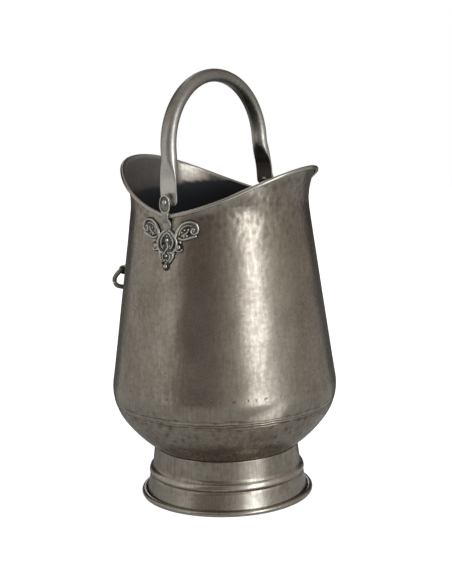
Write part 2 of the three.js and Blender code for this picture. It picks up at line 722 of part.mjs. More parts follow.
for (const ear of ears) {
  const side = new THREE.Group();
  side.rotation.z = ear.heading;
  side.add(piece("ear_bracket_" + ear.name, earBracket(earRivets.map((r) => r.drill)), "cast"));
  const tail = pinHeadHeight * 0.7;
  const pin = rivet(pinRadius, pinHeadRadius, pinHeadHeight, pinGrip, pinHeadRadius, tail, 10);
  const pinMesh = piece("ear_rivet_" + ear.name, pin, "cast");
  side.add(placeAlong(pinMesh, point(eyeOutside + seat, 0, pivotHeight), point(1, 0, 0)));
  const hole = pinRadius + rivetClearance;
  const corners = [
    [hole, 0],
    [washerRadius, 0],
    [washerRadius, washerThick],
    [hole, washerThick],
    [hole, 0],
  ];
  const washer = closed(new THREE.LatheGeometry(corners.map(([r, z]) => flat(r, z)), 12));
  const washerMesh = piece("ear_washer_" + ear.name, washer, "worn");
  side.add(placeAlong(washerMesh, point(washerSeat, 0, pivotHeight), point(1, 0, 0)));
  for (const r of earRivets) {
    const mesh = piece("bracket_rivet_" + ear.name + "_" + ear.spots[r.name], r.geometry, "worn");
    side.add(placeAlong(mesh, r.headSeat, r.out));
    drills.push(turned(r.drill, ear.heading));
  }
  scuttle.add(side);
}

const lugHeading = Math.atan2(lugWall, lugSpan);
const padRivet = (lugPadTall / 2 + lugRadius) / 2; // pins up or down to a rivet
const padRivets = (heading) => [
  { name: "upper", ...wallRivet(heading, 0, pinLevel + padRivet, lugPadThick) },
  { name: "lower", ...wallRivet(heading, 0, pinLevel - padRivet, lugPadThick) },
];
for (const side of [
  { name: "right", heading: lugHeading, mirror: 1 },
  { name: "left", heading: Math.PI - lugHeading, mirror: -1 },
]) {
  const lug = backLug(padRivets(lugHeading).map((r) => r.drill));
  scuttle.add(piece("back_lug_" + side.name, closed(lug.scale(side.mirror, 1, 1)), "cast"));
  for (const r of padRivets(side.heading)) {
    const mesh = piece("lug_rivet_" + side.name + "_" + r.name, r.geometry, "worn");
    scuttle.add(placeAlong(mesh, r.headSeat, r.out));
    drills.push(r.drill);
  }
}

scuttle.add(piece("body_wall", bodyWall(drills), "hammered"));
scuttle.add(piece("bottom_bowl", bottomBowl(), "hammered"));
scuttle.add(piece("foot", footRing(), "hammered"));
const rimWireAt = (angle) => flat(rimCentre(angle).x, rimCentre(angle).y + bellyLevel);
scuttle.add(piece("rim_wire", wireRing(rimWireAt, rimWireRadius), "worn"));
scuttle.add(piece("foot_wire", wireRing(() => footWireCentre, footWireRadius), "worn"));
scuttle.add(piece("tipping_handle", tippingHandle(), "cast"));

const handle = new THREE.Group();
handle.position.set(0, 0, pivotHeight);
handle.rotation.x = -rad(handleLean);
handle.add(piece("carry_handle", carryHandle(), "hammered"));
scuttle.add(handle);

export default scuttle;
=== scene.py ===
"""Hammered coal scuttle in antique pewter: its surfaces, finishes, studio and camera.

Millimetres are used for the shapes and turned to metres where a mesh is made. +Z is up, the origin is
the centre of the foot on the floor, the spout looks to -Y and the tipping handle is at +Y.
"""
import math

import bpy
import numpy as np
from mathutils import Matrix, Vector


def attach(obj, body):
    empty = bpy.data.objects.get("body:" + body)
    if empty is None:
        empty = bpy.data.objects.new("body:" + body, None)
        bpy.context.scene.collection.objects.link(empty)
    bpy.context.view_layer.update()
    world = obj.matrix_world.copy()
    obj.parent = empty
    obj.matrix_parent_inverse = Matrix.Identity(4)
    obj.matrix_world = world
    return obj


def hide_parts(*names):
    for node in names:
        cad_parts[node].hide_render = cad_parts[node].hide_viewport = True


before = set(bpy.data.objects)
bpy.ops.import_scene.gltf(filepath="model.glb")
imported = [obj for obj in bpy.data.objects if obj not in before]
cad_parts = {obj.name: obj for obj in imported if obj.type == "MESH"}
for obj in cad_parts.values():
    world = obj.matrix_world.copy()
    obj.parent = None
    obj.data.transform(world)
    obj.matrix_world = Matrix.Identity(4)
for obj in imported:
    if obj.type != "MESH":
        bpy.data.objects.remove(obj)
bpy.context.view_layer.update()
scene = bpy.context.scene

MM = 0.001
TURN = 2 * math.pi
WAYS = 480  # sections round the bucket
POLE = 0.02  # radius of the flat cap that closes a piece at its axis

# -------------------- sizes of the bucket
SHEET = 1.2
BELLY_RADIUS, BELLY_ARC = 150.0, 70.0
BOWL_ARC, BOWL_START = 165.0, math.radians(35)
FLOOR_ARC = 60.0
TAPER, TAPER_HEIGHT = math.radians(7.94), 235.0
FLARE_ARC = 90.0
MOUTH_HEIGHT, SPOUT_RISE, BACK_RISE = 242.0, 54.0, 57.5
SADDLE_STRAIGHT, SADDLE_POWER = 0.5, 2.6
SADDLE_SOFT = 0.03  # rounds the saddle's lowest points
RIM_ROLL = 1.55  # inside radius of the rolled edge
SEAM_DROP, SEAM_LAP = 17.5, 8.0
FOOT_TOP, FOOT_HEIGHT = 96.5, 69.5
FOOT_EDGE, FOOT_BEAD, FOOT_BEAD_LEVEL = 109.2, 2.85, 3.25
MOUTH_RADIUS = 118.75  # of the wall where its edge is lowest
SLACK = 0.3  # between sheets that lie on each other

BELLY_CENTRE = np.array([BELLY_RADIUS - BELLY_ARC, 0.0])
TAPER_FOOT = BELLY_CENTRE + BELLY_ARC * np.array([math.cos(TAPER), math.sin(TAPER)])
TAPER_TOP = np.array([TAPER_FOOT[0] - math.tan(TAPER) * (TAPER_HEIGHT - TAPER_FOOT[1]), TAPER_HEIGHT])
FLARE_CENTRE = TAPER_TOP + FLARE_ARC * np.array([math.cos(TAPER), math.sin(TAPER)])
BOWL_TOP = BELLY_CENTRE + BELLY_ARC * np.array([math.cos(BOWL_START), -math.sin(BOWL_START)])
BOWL_CENTRE = BOWL_TOP - BOWL_ARC * np.array([math.cos(BOWL_START), -math.sin(BOWL_START)])
FOOT_SLOPE = math.acos((FOOT_TOP - BOWL_CENTRE[0]) / BOWL_ARC)
BOWL_FOOT = BOWL_CENTRE + BOWL_ARC * np.array([math.cos(FOOT_SLOPE), -math.sin(FOOT_SLOPE)])
FLOOR_CENTRE = BOWL_FOOT - FLOOR_ARC * np.array([math.cos(FOOT_SLOPE), -math.sin(FOOT_SLOPE)])
BELLY_LEVEL = FOOT_HEIGHT - BOWL_FOOT[1]
RIM_LOW = BELLY_LEVEL + MOUTH_HEIGHT
PIVOT = RIM_LOW + 19.0  # level of the pins that the carrying handle swings on


def wall_radius(z):
    """Outside radius of the bucket at a height above the floor: belly arc, straight taper, flare arc."""
    h = np.asarray(z, float) - BELLY_LEVEL
    flare = FLARE_CENTRE[0] - np.sqrt(np.maximum(FLARE_ARC**2 - (h - FLARE_CENTRE[1]) ** 2, 0))
    straight = TAPER_FOOT[0] - math.tan(TAPER) * (h - TAPER_FOOT[1])
    belly = BELLY_CENTRE[0] + np.sqrt(np.maximum(BELLY_ARC**2 - h**2, 0))
    bowl = BOWL_CENTRE[0] + np.sqrt(np.maximum(BOWL_ARC**2 - (h - BOWL_CENTRE[1]) ** 2, 0))
    return np.where(h > TAPER_HEIGHT, flare,
                    np.where(h > TAPER_FOOT[1], straight, np.where(h > BOWL_TOP[1], belly, bowl)))


def smooth(t):
    """An eased step: 0 below t = 0, 1 above t = 1."""
    t = np.clip(t, 0, 1)
    return t * t * (3 - 2 * t)


def bell(x, width, power=2):
    """A bell curve that is 1 at x = 0; a higher power gives it a flatter top."""
    return np.exp(-((x / width) ** power))


def full_turn(count):
    """The angles of points spread evenly round a circle."""
    return TURN * np.arange(count) / count


def pressed(wave, power):
    """A wave between -1 and 1 with its height raised to a power, which makes a circle a superellipse."""
    return np.sign(wave) * np.abs(wave) ** power


def spread(*parts):
    """Coordinates of a grid, each spread over the whole of it, and stacked."""
    return np.stack(np.broadcast_arrays(*parts), -1)


def evened(row, width):
    """A row of values, each one the mean of those round it."""
    parts = [np.repeat(row[:1], width // 2), row, np.repeat(row[-1:], width // 2)]
    return np.convolve(np.concatenate(parts), np.ones(width) / width, "valid")


around = full_turn(WAYS)[:, None]


def from_heading(degrees):
    """Angles round the bucket from a heading, kept within half a turn either way."""
    return np.angle(np.exp(1j * (around - math.radians(degrees))))


def arc(centre, radius, start, end, count):
    """Points on an arc, from one angle to another; centre and angles may change round the bucket."""
    angle = start + (end - start) * np.linspace(0, 1, count)
    return spread(centre[..., 0:1] + radius * np.cos(angle), centre[..., 1:2] + radius * np.sin(angle))


def facing(points, heading):
    """Points made for heading 0, which is +X, turned to another heading round the upright axis."""
    c, s = math.cos(heading), math.sin(heading)
    return points @ np.array([[c, s, 0], [-s, c, 0], [0, 0, 1]])


# -------------------- meshes from grids of points
def make_mesh(name, points, faces, masks=None):
    """A smooth-shaded mesh from points in millimetres; masks are values kept on its vertices."""
    mesh = bpy.data.meshes.new(name)
    mesh.from_pydata((points * MM).tolist(), [], faces)
    mesh.polygons.foreach_set("use_smooth", np.ones(len(mesh.polygons), bool))
    for key, values in (masks or {}).items():
        layer = mesh.attributes.new(key, "FLOAT", "POINT")
        layer.data.foreach_set("value", np.asarray(values, np.float32).ravel())
    mesh.update()
    piece = bpy.data.objects.new(name, mesh)
    scene.collection.objects.link(piece)
    return piece


def grid_faces(rows, columns, loop_rows, loop_columns):
    """The corners of every cell of a grid. A loop joins the last row or column to the first."""
    i = np.arange(rows if loop_rows else rows - 1)[:, None]
    k = np.arange(columns if loop_columns else columns - 1)
    i2, k2 = (i + 1) % rows, (k + 1) % columns
    return spread(i * columns + k, i2 * columns + k, i2 * columns + k2, i * columns + k2).reshape(-1, 4)


def signed_volume(points, quads):
    """Six times the volume inside a skin of quads, negative where they face inwards."""
    a, b, c, d = (points[quads[:, j]] for j in range(4))
    return float((np.einsum("ij,ij->i", a, np.cross(b, c)) + np.einsum("ij,ij->i", a, np.cross(c, d))).sum())


def surface(name, points, masks, loop_rows=True):
    """A closed skin over a grid of points whose columns loop. Rows that don't loop end in a flat cap of one
    face. Each mask is spread over the grid."""
    rows, columns = points.shape[:2]
    flat = points.reshape(-1, 3)
    quads = grid_faces(rows, columns, loop_rows, True)
    turned = signed_volume(flat - flat.mean(0), quads) < 0
    faces = quads[:, ::-1].tolist() if turned else quads.tolist()
    if not loop_rows:
        ends = [list(range(columns)), list(range((rows - 1) * columns, rows * columns))[::-1]]
        faces += [e[::-1] for e in ends] if turned else ends
    masks = {key: np.broadcast_to(values, (rows, columns)) for key, values in masks.items()}
    return make_mesh(name, flat, faces, masks)


def revolved(name, section, masks):
    """A closed skin from sections (radius, height), one for each way round the upright axis."""
    radius, height = section[..., 0], section[..., 1]
    return surface(name, spread(radius * np.cos(around), radius * np.sin(around), height), masks)


def swept(name, path, side, radius_in, radius_side, masks, power=2.0, columns=20):
    """A bar along a path, with a superellipse section: side is the direction of its wide axis. Masks change
    along the path, or along it and round the section."""
    rows = len(path)
    along = np.gradient(path, axis=0)
    along /= np.linalg.norm(along, axis=1, keepdims=True)
    side = side - along * np.einsum("ij,ij->i", np.broadcast_to(side, path.shape), along)[:, None]
    side /= np.linalg.norm(side, axis=1, keepdims=True)
    inward = np.cross(along, side)
    turn = full_turn(columns)
    ends = 2 / np.broadcast_to(power, rows)[:, None]
    c = pressed(np.cos(turn), ends) * np.broadcast_to(radius_in, rows)[:, None]
    s = pressed(np.sin(turn), ends) * np.broadcast_to(radius_side, rows)[:, None]
    points = path[:, None] + inward[:, None] * c[..., None] + side[:, None] * s[..., None]
    return surface(name, points, {key: v.reshape(rows, -1) for key, v in masks.items()}, loop_rows=False)


# -------------------- wall, bowl and foot
def ripple(seed, counts, depth):
    """A few whole waves round the bucket, added up, for work that was done by hand."""
    chance = np.random.default_rng(seed)
    value = 0.0
    for count in counts:
        wave = np.sin(around * count + chance.uniform(0, TURN))
        value = value + wave * chance.uniform(0.5, 1) / len(counts)
    return value * depth


def dents(level, seed, count, pitch, depth):
    """Hammer marks: in each cell of a grid (count cells round, pitch high) one round dent, moved and
    deepened by chance. A point is pushed in by the sum of the bell curves of the nine nearest dents."""
    chance = np.random.default_rng(seed)
    rows = 90
    shift = chance.uniform(-0.38, 0.38, (count, rows, 2))
    force = chance.uniform(0.35, 1.0, (count, rows))
    a, b = np.broadcast_arrays(around * count / TURN, level / pitch + rows / 2)
    i, j = np.floor(a).astype(int), np.floor(b).astype(int)
    wide = TURN * BELLY_RADIUS / count
    push = np.zeros(a.shape)
    for di in (-1, 0, 1):
        for dj in (-1, 0, 1):
            p, q = (i + di) % count, (j + dj) % rows
            x = (a - (i + di + 0.5 + shift[p, q, 0])) * wide
            y = (b - (j + dj + 0.5 + shift[p, q, 1])) * pitch
            push += force[p, q] * np.exp(-(x**2 + y**2) / (0.46 * pitch) ** 2)
    return push * depth


def mouth_edge():
    """Height of the mouth's edge over the belly level: lowest at the ears, a steady climb and a late one."""
    away = (np.sqrt(np.sin(around) ** 2 + SADDLE_SOFT**2) - SADDLE_SOFT) / (1 - SADDLE_SOFT)
    rise = np.where(np.sin(around) < 0, SPOUT_RISE, BACK_RISE)
    return MOUTH_HEIGHT + rise * (SADDLE_STRAIGHT * away + (1 - SADDLE_STRAIGHT) * away**SADDLE_POWER)


def seam_level():
    """Level of the seam, below the belly level: wavy, and lower over one stretch of the back."""
    dip = bell(from_heading(118), math.radians(20))
    return -SEAM_DROP - 4.5 * dip + ripple(4, (9, 17, 31, 43), 1.1)


def roll_sweep(inside):
    """How far a sheet is rolled round a wire before its edge meets the sheet again."""
    return TURN - math.acos((inside - SLACK) / (inside + SHEET))


def sheet_loop(face, bare, thin):
    """A closed section of sheet metal: the worked face, and behind it the points of the bare one that thin
    lists, moved a sheet's thickness to its left."""
    along = np.gradient(bare, axis=-2)
    along /= np.maximum(np.linalg.norm(along, axis=-1, keepdims=True), 1e-9)
    back = bare + np.stack([-along[..., 1], along[..., 0]], -1) * SHEET
    return np.concatenate([face, back[..., thin, :][..., ::-1, :]], -2)


def bucket_wall():
    """Revolved wall whose section changes round the bucket: belly arc, taper, flare arc, rolled edge.
    The outside is pushed in by hammer marks and waves; the inside is left smoother."""
    edge, seam = mouth_edge(), seam_level()
    slope = np.arcsin((edge - FLARE_CENTRE[1]) / FLARE_ARC)
    belly = arc(BELLY_CENTRE, BELLY_ARC, np.arcsin(seam / BELLY_ARC), TAPER, 17)
    share = np.linspace(0, 1, 100)[1:-1, None]
    straight = belly[:, -1:] * (1 - share) + TAPER_TOP * share
    flare = arc(FLARE_CENTRE, FLARE_ARC, math.pi + TAPER, math.pi - slope, 26)
    middle = FLARE_CENTRE + (FLARE_ARC - RIM_ROLL) * np.hstack([-np.cos(slope), np.sin(slope)])
    roll = arc(middle, RIM_ROLL, math.pi - slope, math.pi - slope - roll_sweep(RIM_ROLL), 14)[:, 1:]
    bare = np.concatenate([belly, straight, flare, roll], 1)
    count, height = bare.shape[1], bare[..., 1]
    # Slow waves of the whole sheet, and marks that are struck harder near the mouth and near the seam
    waves = (ripple(7, (3, 5, 8, 13, 21), 0.45) * np.sin(height / 23)
             + ripple(8, (7, 11, 19), 0.3) * np.cos(height / 11) - 0.45)
    hard = 0.38 + 1.3 * smooth((height - 160) / 90) + 0.9 * smooth((15 - height) / 40)
    marks = dents(height, 11, 104, 7.6, 0.16) * hard + dents(height, 12, 60, 13.0, 0.055)
    rolled = np.repeat([0.0, 1.0], [count - roll.shape[1], roll.shape[1]])
    # The work fades out towards the seam and the rolled edge, and the waves fade out in belly and flare too
    give = smooth((height + SEAM_DROP) / 6) * smooth((edge - height - 3) / 8) * (1 - rolled)
    quiet = smooth((height + 6) / 40) * smooth((TAPER_HEIGHT + 10 - height) / 60)
    face, soft = bare.copy(), bare.copy()
    face[..., 0] += give * (quiet * waves - marks)
    soft[..., 0] += give * (quiet * waves - 0.3)
    thin = np.r_[0:count - 40:5, count - 40:count:2]
    section = sheet_loop(face, soft, thin)
    section[..., 1] += BELLY_LEVEL

    def both(values):
        """Values on the face, and again on the points behind it."""
        return np.concatenate([values, values[:, thin][:, ::-1]], 1)

    inner = np.repeat([0.0, 1.0], [count, len(thin)])
    bead = both(np.broadcast_to(rolled, height.shape))
    # Soot up to a wavy line in the flare, and above it painted shade over the inside of the flare, thin round
    # a heading of 50 degrees
    soot_line = TAPER_HEIGHT + 25 + ripple(21, (5, 9, 14), 1.2)
    soot_and_painted_shade = inner * (1 - bead) * smooth((soot_line - both(height)) / 3.2)
    off = np.degrees(from_heading(50))
    flare_painted_shade = 0.16 + 0.58 * np.maximum(smooth((-off - 7) / 5), smooth((off - 8) / 7))
    soot_and_painted_shade = np.maximum(soot_and_painted_shade, flare_painted_shade * inner * (1 - bead) * smooth(both(edge - height) / 4))
    # The lip and the sheet's edge at the seam are rubbed, and a dark line is scored a little above it
    above = both(height - seam)
    edge_line = bell(above - 1.2, 0.9) * (1 - inner)
    scored = bell(above - 4.0 - ripple(33, (5, 12, 26), 1.5), 0.9)
    lip = np.maximum(bead * 0.6, smooth((both(height) - edge + 14) / 14) * 0.35) + 0.5 * edge_line
    patina_and_painted_shade = both(np.clip(marks / 0.22, 0, 1) * np.minimum(hard, 1.3)) * (1 - inner)
    patina_and_painted_shade = patina_and_painted_shade + 1.6 * scored * (1 - inner)
    return revolved("bucket_wall", section, {"soot_and_painted_shade": soot_and_painted_shade, "lightened": lip, "patina_and_painted_shade": patina_and_painted_shade})


def bucket_bowl():
    """Revolved bowl: a sleeve inside the wall, a step out at the seam, the bowl arc and the flat floor."""
    seam = seam_level()
    top = seam - 0.35
    sleeve_h = np.hstack([np.full_like(top, SEAM_LAP - SEAM_DROP), (top + SEAM_LAP - SEAM_DROP) / 2, top])
    sleeve = np.stack([wall_radius(sleeve_h + BELLY_LEVEL) - (SHEET + SLACK), sleeve_h], -1)
    belly = arc(BELLY_CENTRE, BELLY_ARC, np.arcsin((top - 0.5) / BELLY_ARC), -BOWL_START, 30)
    bowl = arc(BOWL_CENTRE, BOWL_ARC, -BOWL_START, -FOOT_SLOPE, 40)[1:]
    turn = arc(FLOOR_CENTRE, FLOOR_ARC, -FOOT_SLOPE, -math.pi / 2, 8)[1:]
    floor = spread(turn[-1, 0] * np.array([0.66, 0.33, 0.002]), turn[-1, 1])
    lower = np.concatenate([bowl, turn, floor])
    bare = np.concatenate([sleeve, belly, np.broadcast_to(lower, (WAYS, *lower.shape))], 1)[:, ::-1]
    height = bare[..., 1]
    below = seam - height
    give = smooth((below - 0.5) / 3) * smooth((bare[..., 0] - FOOT_TOP + 2) / 4)
    marks = dents(height, 13, 90, 8.4, 0.22)
    # Two uneven ridges below the seam, the lower one fainter
    lap = 0.48 * bell(below - 3.6 - ripple(31, (6, 11, 23), 1.6), 0.9)
    lap = lap + 0.24 * bell(below - 7.5 - ripple(32, (5, 9, 27), 1.8), 1.1)
    face = bare.copy()
    face[..., 0] -= give * (marks + lap)
    thin = np.arange(0, bare.shape[1], 3)
    section = sheet_loop(face, bare, thin)
    section[..., 0] = np.maximum(section[..., 0], POLE)
    section[..., 1] += BELLY_LEVEL
    inside = np.ones((WAYS, len(thin)))
    # A dark line is painted on the bowl where it meets the top of the foot; the bowl's inside is black with
    # soot
    soot_and_painted_shade = np.hstack([0.8 * bell(bare[..., 0] - FOOT_TOP - 0.6, 1.5), inside])
    # Brown patina in the hammer dents, and painted shade along the two lap ridges
    patina_and_painted_shade = np.hstack([np.clip(marks / 0.15, 0, 1.6) + lap * 3.5, 0 * inside])
    return revolved("bucket_bowl", section, {"soot_and_painted_shade": soot_and_painted_shade, "lightened": 0.0, "patina_and_painted_shade": patina_and_painted_shade})


def foot_shell():
    """Revolved foot: flange under the bowl, straight cone, swelled ring with a groove under it, bead."""
    under = BOWL_ARC + SLACK
    start, end = (-math.acos((radius - BOWL_CENTRE[0]) / under) for radius in (FOOT_TOP - 8, FOOT_TOP))
    flange = arc(BOWL_CENTRE, under, start, end, 5) + np.array([0, BELLY_LEVEL])
    height = np.linspace(67.5, 9.0, 70)
    cone = np.interp(height, [3, 27, 29, 44, 69.5], [109.0, 104.2, 103.6, 99.6, 96.5])
    from_ring = height - 35.2
    ring = 2.6 * bell(from_ring, 4.6, 4) * (1 - 0.12 * from_ring / 6)
    groove = -0.7 * bell(height - 28.6, 1.3)
    body = np.stack([cone + ring + groove, height], -1)
    centre = np.array([FOOT_EDGE + FOOT_BEAD, FOOT_BEAD_LEVEL])
    roll = arc(centre, FOOT_BEAD, math.pi, math.pi + roll_sweep(FOOT_BEAD), 22)
    bare = np.concatenate([flange, body, roll])[::-1]
    give = np.repeat([0.0, 1.0, 0.0], [len(roll), len(body), len(flange)])
    give = give * smooth((bare[:, 1] - 9) / 8) * smooth((67 - bare[:, 1]) / 6)
    bare = np.broadcast_to(bare, (WAYS, *bare.shape))
    face = bare.copy()
    face[..., 0] -= give * (dents(bare[..., 1], 14, 110, 9.0, 0.05) + ripple(15, (4, 7, 13, 22), 0.12) + 0.1)
    section = sheet_loop(face, bare, np.r_[0:24, 24:bare.shape[1]:3])
    section[..., 1] = np.maximum(section[..., 1], 0)
    lightening = np.interp(section[..., 1], [0, 8, 30, 36, 42], [0.5, 0.15, 0.05, 0.45, 0.0])
    return revolved("foot_shell", section, {"soot_and_painted_shade": 0.0, "lightened": lightening, "patina_and_painted_shade": 0.0})


# -------------------- carrying handle
STRAP_SPAN, ARCH_SPAN, ARCH_START, ARCH_HEIGHT = 113.5, 106.5, 59.0, 89.85
HANDLE_LEAN = math.radians(3.5)
STRAP_END, STRAP_TIP, STRAP_TOP, TUBE_BOTTOM = 6.0, 0.55, 22.0, 52.0
STRAP_THICK, STRAP_WIDE, TUBE_THICK, TUBE_WIDE = 3.6, 24.5, 17.0, 21.5
HANDLE_COLUMNS = 40


def carrying_handle():
    """A tube along an arch: upright legs that lean in, then half an ellipse; pressed flat at both ends."""
    up = np.concatenate([-STRAP_END * np.cos(np.linspace(0, math.pi / 2, 12)), np.linspace(2, 58, 40)])
    lean = smooth((up - STRAP_TOP / 2) / (ARCH_START - STRAP_TOP / 2))
    leg = np.stack([STRAP_SPAN + (ARCH_SPAN - STRAP_SPAN) * lean, up], -1)
    angle = np.linspace(0, math.pi / 2, 60)
    bow = np.stack([ARCH_SPAN * np.cos(angle), ARCH_START + ARCH_HEIGHT * np.sin(angle)], -1)
    half = np.concatenate([leg, bow])
    whole = np.concatenate([half, (half * [-1, 1])[::-1][1:]])
    level = whole[:, 1]
    round_ = smooth((level - STRAP_TOP) / (TUBE_BOTTOM - STRAP_TOP))
    tip = np.sqrt(1 - (1 - np.clip((level + STRAP_END) / STRAP_END, 0, 1)) ** 2)
    tip = STRAP_TIP + (1 - STRAP_TIP) * tip
    thick = (STRAP_THICK + (TUBE_THICK - STRAP_THICK) * round_) / 2
    wide = (STRAP_WIDE + (TUBE_WIDE - STRAP_WIDE) * round_) / 2 * tip
    path = np.stack([whole[:, 0], level * math.sin(HANDLE_LEAN), PIVOT + level * math.cos(HANDLE_LEAN)], -1)
    side = np.array([0.0, math.cos(HANDLE_LEAN), -math.sin(HANDLE_LEAN)])
    # Lighter towards the straps and less so up the legs, with painted shade on the straps' inner faces
    lightening = 0.05 + 0.95 * smooth((125 - level) / 100)
    inner_face = smooth(3 * np.cos(full_turn(HANDLE_COLUMNS)))
    inner_painted_shade = smooth((50 - level) / 30)[:, None] * inner_face
    masks = {"lightened": lightening[:, None] * (1 - 0.8 * inner_painted_shade), "patina_and_painted_shade": 2.0 * inner_painted_shade}
    return swept("handle_tube", path, side, thick, wide, masks, 2 + 3.5 * (1 - round_), HANDLE_COLUMNS)


# -------------------- fittings on the wall
SCROLL_HEAD = RIM_LOW - 7.0
TIP_V, SIDE_U, SIDE_V = -55.0, 17.6, -30.25  # where the bracket's rivets stand, from the scrollwork's head
BRACKET_PLATE, LUG_PLATE = 1.6, 1.9  # what the small rivets' heads lie on
SCROLL_STEP, SCROLL_FOOT = 0.42, -0.25  # pitch of the relief's grid, and where it is cut off in the wall
DEEP = 9.0  # lies under all of the relief


def on_wall(u, z, lift, heading):
    """A point a distance u round the wall from a heading, at a height, lifted off the outside."""
    radius = wall_radius(z)
    angle = heading + u / radius
    return spread((radius + lift) * np.cos(angle), (radius + lift) * np.sin(angle), z)


def stroke(points, start, end, count=60):
    """A smooth line through a few points of the ornament, with a radius that goes from start to end."""
    points = np.asarray(points, float)
    steps = np.concatenate([[0], np.cumsum(np.linalg.norm(np.diff(points, axis=0), axis=1))])
    share = np.linspace(0, steps[-1], count)
    line = np.stack([evened(np.interp(share, steps, points[:, j]), 9) for j in (0, 1)], -1)
    return line, np.linspace(start, end, count)


def scroll_relief():
    """The ornament's strokes and beads in (u, v): v is measured from the head of the scrollwork."""
    half = [
        stroke([(0, -7.5), (5, -11), (11, -17), (14.6, -24), (14.2, -30), (11, -35.5), (7.5, -38.4),
                (5.6, -36.4)], 1.55, 1.2, 90),
        stroke([(0, -12.5), (4, -15), (8, -20), (9.3, -25.5), (7.8, -30.5), (4.8, -32.6)], 1.2, 0.9),
        stroke([(12, -18), (14, -10), (19, -2.6), (26, 1.4), (33, 2.0), (39.5, -0.6), (42.4, -6), (41.6, -11),
                (37.6, -13.8), (33.4, -12.2), (32.8, -8.4), (36, -6.2), (38, -8)], 1.8, 1.0, 150),
        stroke([(17, -15), (18.5, -8.5), (23, -4.2), (29, -2.4), (34, -3.4)], 1.0, 0.7),
        stroke([(40, -15.5), (33, -17.6), (27, -19.8), (21.5, -20.6), (16.5, -18.6)], 1.5, 1.2),
        stroke([(21, -16), (25.5, -13.6), (28.6, -10.6), (29.4, -7)], 1.1, 0.8),
        stroke([(14.5, -25.5), (13.6, -30), (15, -34.6), (19.5, -35.6), (22.6, -32.6)], 1.2, 1.0),
        stroke([(9.4, -37), (10, -41), (8.4, -45.4), (5.6, -49.4)], 1.3, 1.1),
        stroke([(2.4, -37.4), (5.4, -40.4), (5.4, -45), (2.6, -48.4), (0.6, -46.4)], 1.1, 0.8),
    ]
    strokes = half + [(line * [-1, 1], radius) for line, radius in half]
    strokes.append(stroke([(0, -25), (1.8, -28.6), (1.4, -32.6), (-2.0, -36), (-2.6, -39.4)], 1.1, 0.8))
    beads = [(0, -22, 2.3), (0, -17.4, 1.2), (0, -41.8, 1.9), (0, -50.4, 1.3)]
    for side in (-1, 1):
        beads += [(side * u, v, r) for u, v, r in (
            (4.4, -29.4, 1.2), (19.4, -23.6, 1.8), (24.2, -8.6, 1.3), (20.6, -11.6, 1.2),
            (27.6, -15.6, 1.3), (23.8, -16.8, 1.1), (13.4, -34.2, 1.2), (11.8, -38.2, 1.1),
            (10.2, -42.6, 1.0), (36.2, -10.0, 1.1))]
    return strokes, beads


def swelling(d2, r, rise):
    """A round ridge of radius r over squared distances from its middle, and nothing beyond it."""
    return np.sqrt(np.maximum(r**2 - d2, 0)) * rise - (d2 > r**2) * DEEP


def relief_height(u, v):
    """Height of the casting over (u, v): a thin plate round every stroke, with round ridges and beads."""
    strokes, beads = scroll_relief()
    ridge = np.full(u.shape, -DEEP)
    plate = np.full(u.shape, 99.0)
    for line, radius in strokes:
        line, r = line[::2], radius[::2]
        d2 = (u[..., None] - line[:, 0]) ** 2 + (v[..., None] - line[:, 1]) ** 2
        ridge = np.maximum(ridge, swelling(d2, r, 1.25).max(-1))
        plate = np.minimum(plate, (np.sqrt(d2) - r).min(-1))
    for cu, cv, r in beads:
        d2 = (u - cu) ** 2 + (v - cv) ** 2
        ridge = np.maximum(ridge, swelling(d2, r, 1.15))
        plate = np.minimum(plate, np.sqrt(d2) - r)
    pads = [(0, TIP_V, 4.7, 4.7), (0, -23, 13.6, 14.5), (0, -43, 9.0, 11.0)]
    for side in (-1, 1):
        pads += [(side * SIDE_U, SIDE_V, 4.7, 4.7), (side * 28.6, -8.6, 13.2, 10.4), (side * 15, -19.5, 5, 6)]
    for cu, cv, wide, tall in pads:
        plate = np.minimum(plate, (np.hypot((u - cu) / wide, (v - cv) / tall) - 1) * min(wide, tall))
    base = 1.25 - 1.9 * smooth((plate - 0.35) / 0.75)
    return np.maximum(base, np.where(ridge > -1, 1.0 + ridge, -DEEP))


def ear_scrolls(name, heading):
    """The cast scrollwork as a relief over the wall; what falls below the wall is trimmed away."""
    u, v = np.meshgrid(np.arange(-46, 46 + SCROLL_STEP, SCROLL_STEP), np.arange(-61, 5.5, SCROLL_STEP),
                       indexing="ij")
    high = relief_height(u, v)
    front = on_wall(u, SCROLL_HEAD + v, np.maximum(high, SCROLL_FOOT), heading)
    back = on_wall(u, SCROLL_HEAD + v, SCROLL_FOOT - 0.05, heading)
    quads = grid_faces(*u.shape, False, False)
    quads = quads[(high > SCROLL_FOOT).ravel()[quads].any(1)]
    edges = np.concatenate([quads[:, [j, (j + 1) % 4]] for j in range(4)])
    key = edges.min(1) * (u.size + 1) + edges.max(1)
    _, first, counts = np.unique(key, return_index=True, return_counts=True)
    a, b = edges[first[counts == 1]].T
    skirt = np.stack([b, a, a + u.size, b + u.size], -1)
    used, packed = np.unique(np.concatenate([quads, quads[:, ::-1] + u.size, skirt]), return_inverse=True)
    faces = packed.reshape(-1, 4)
    points = np.concatenate([front, back]).reshape(-1, 3)[used]
    hollow = np.concatenate([1 - smooth(high.ravel() - 0.95), np.ones(u.size)])[used]
    if signed_volume(points - points.mean(0), faces) < 0:
        faces = faces[:, ::-1]
    return make_mesh(name, points, faces.tolist(), {"hollow": hollow})


WASHER_THICK, EYE_THICK, EYE_MIDDLE = 1.8, 8.0, -2.75
PANEL_DEPTH = 1.1  # of the panel sunk in the eye's face, which the pin's head stands in
WASHER_SEAT = STRAP_SPAN + STRAP_THICK / 2 + SLACK / 2
EYE_INSIDE = WASHER_SEAT + WASHER_THICK + SLACK / 2
PIN_SEAT = EYE_INSIDE + EYE_THICK - PANEL_DEPTH


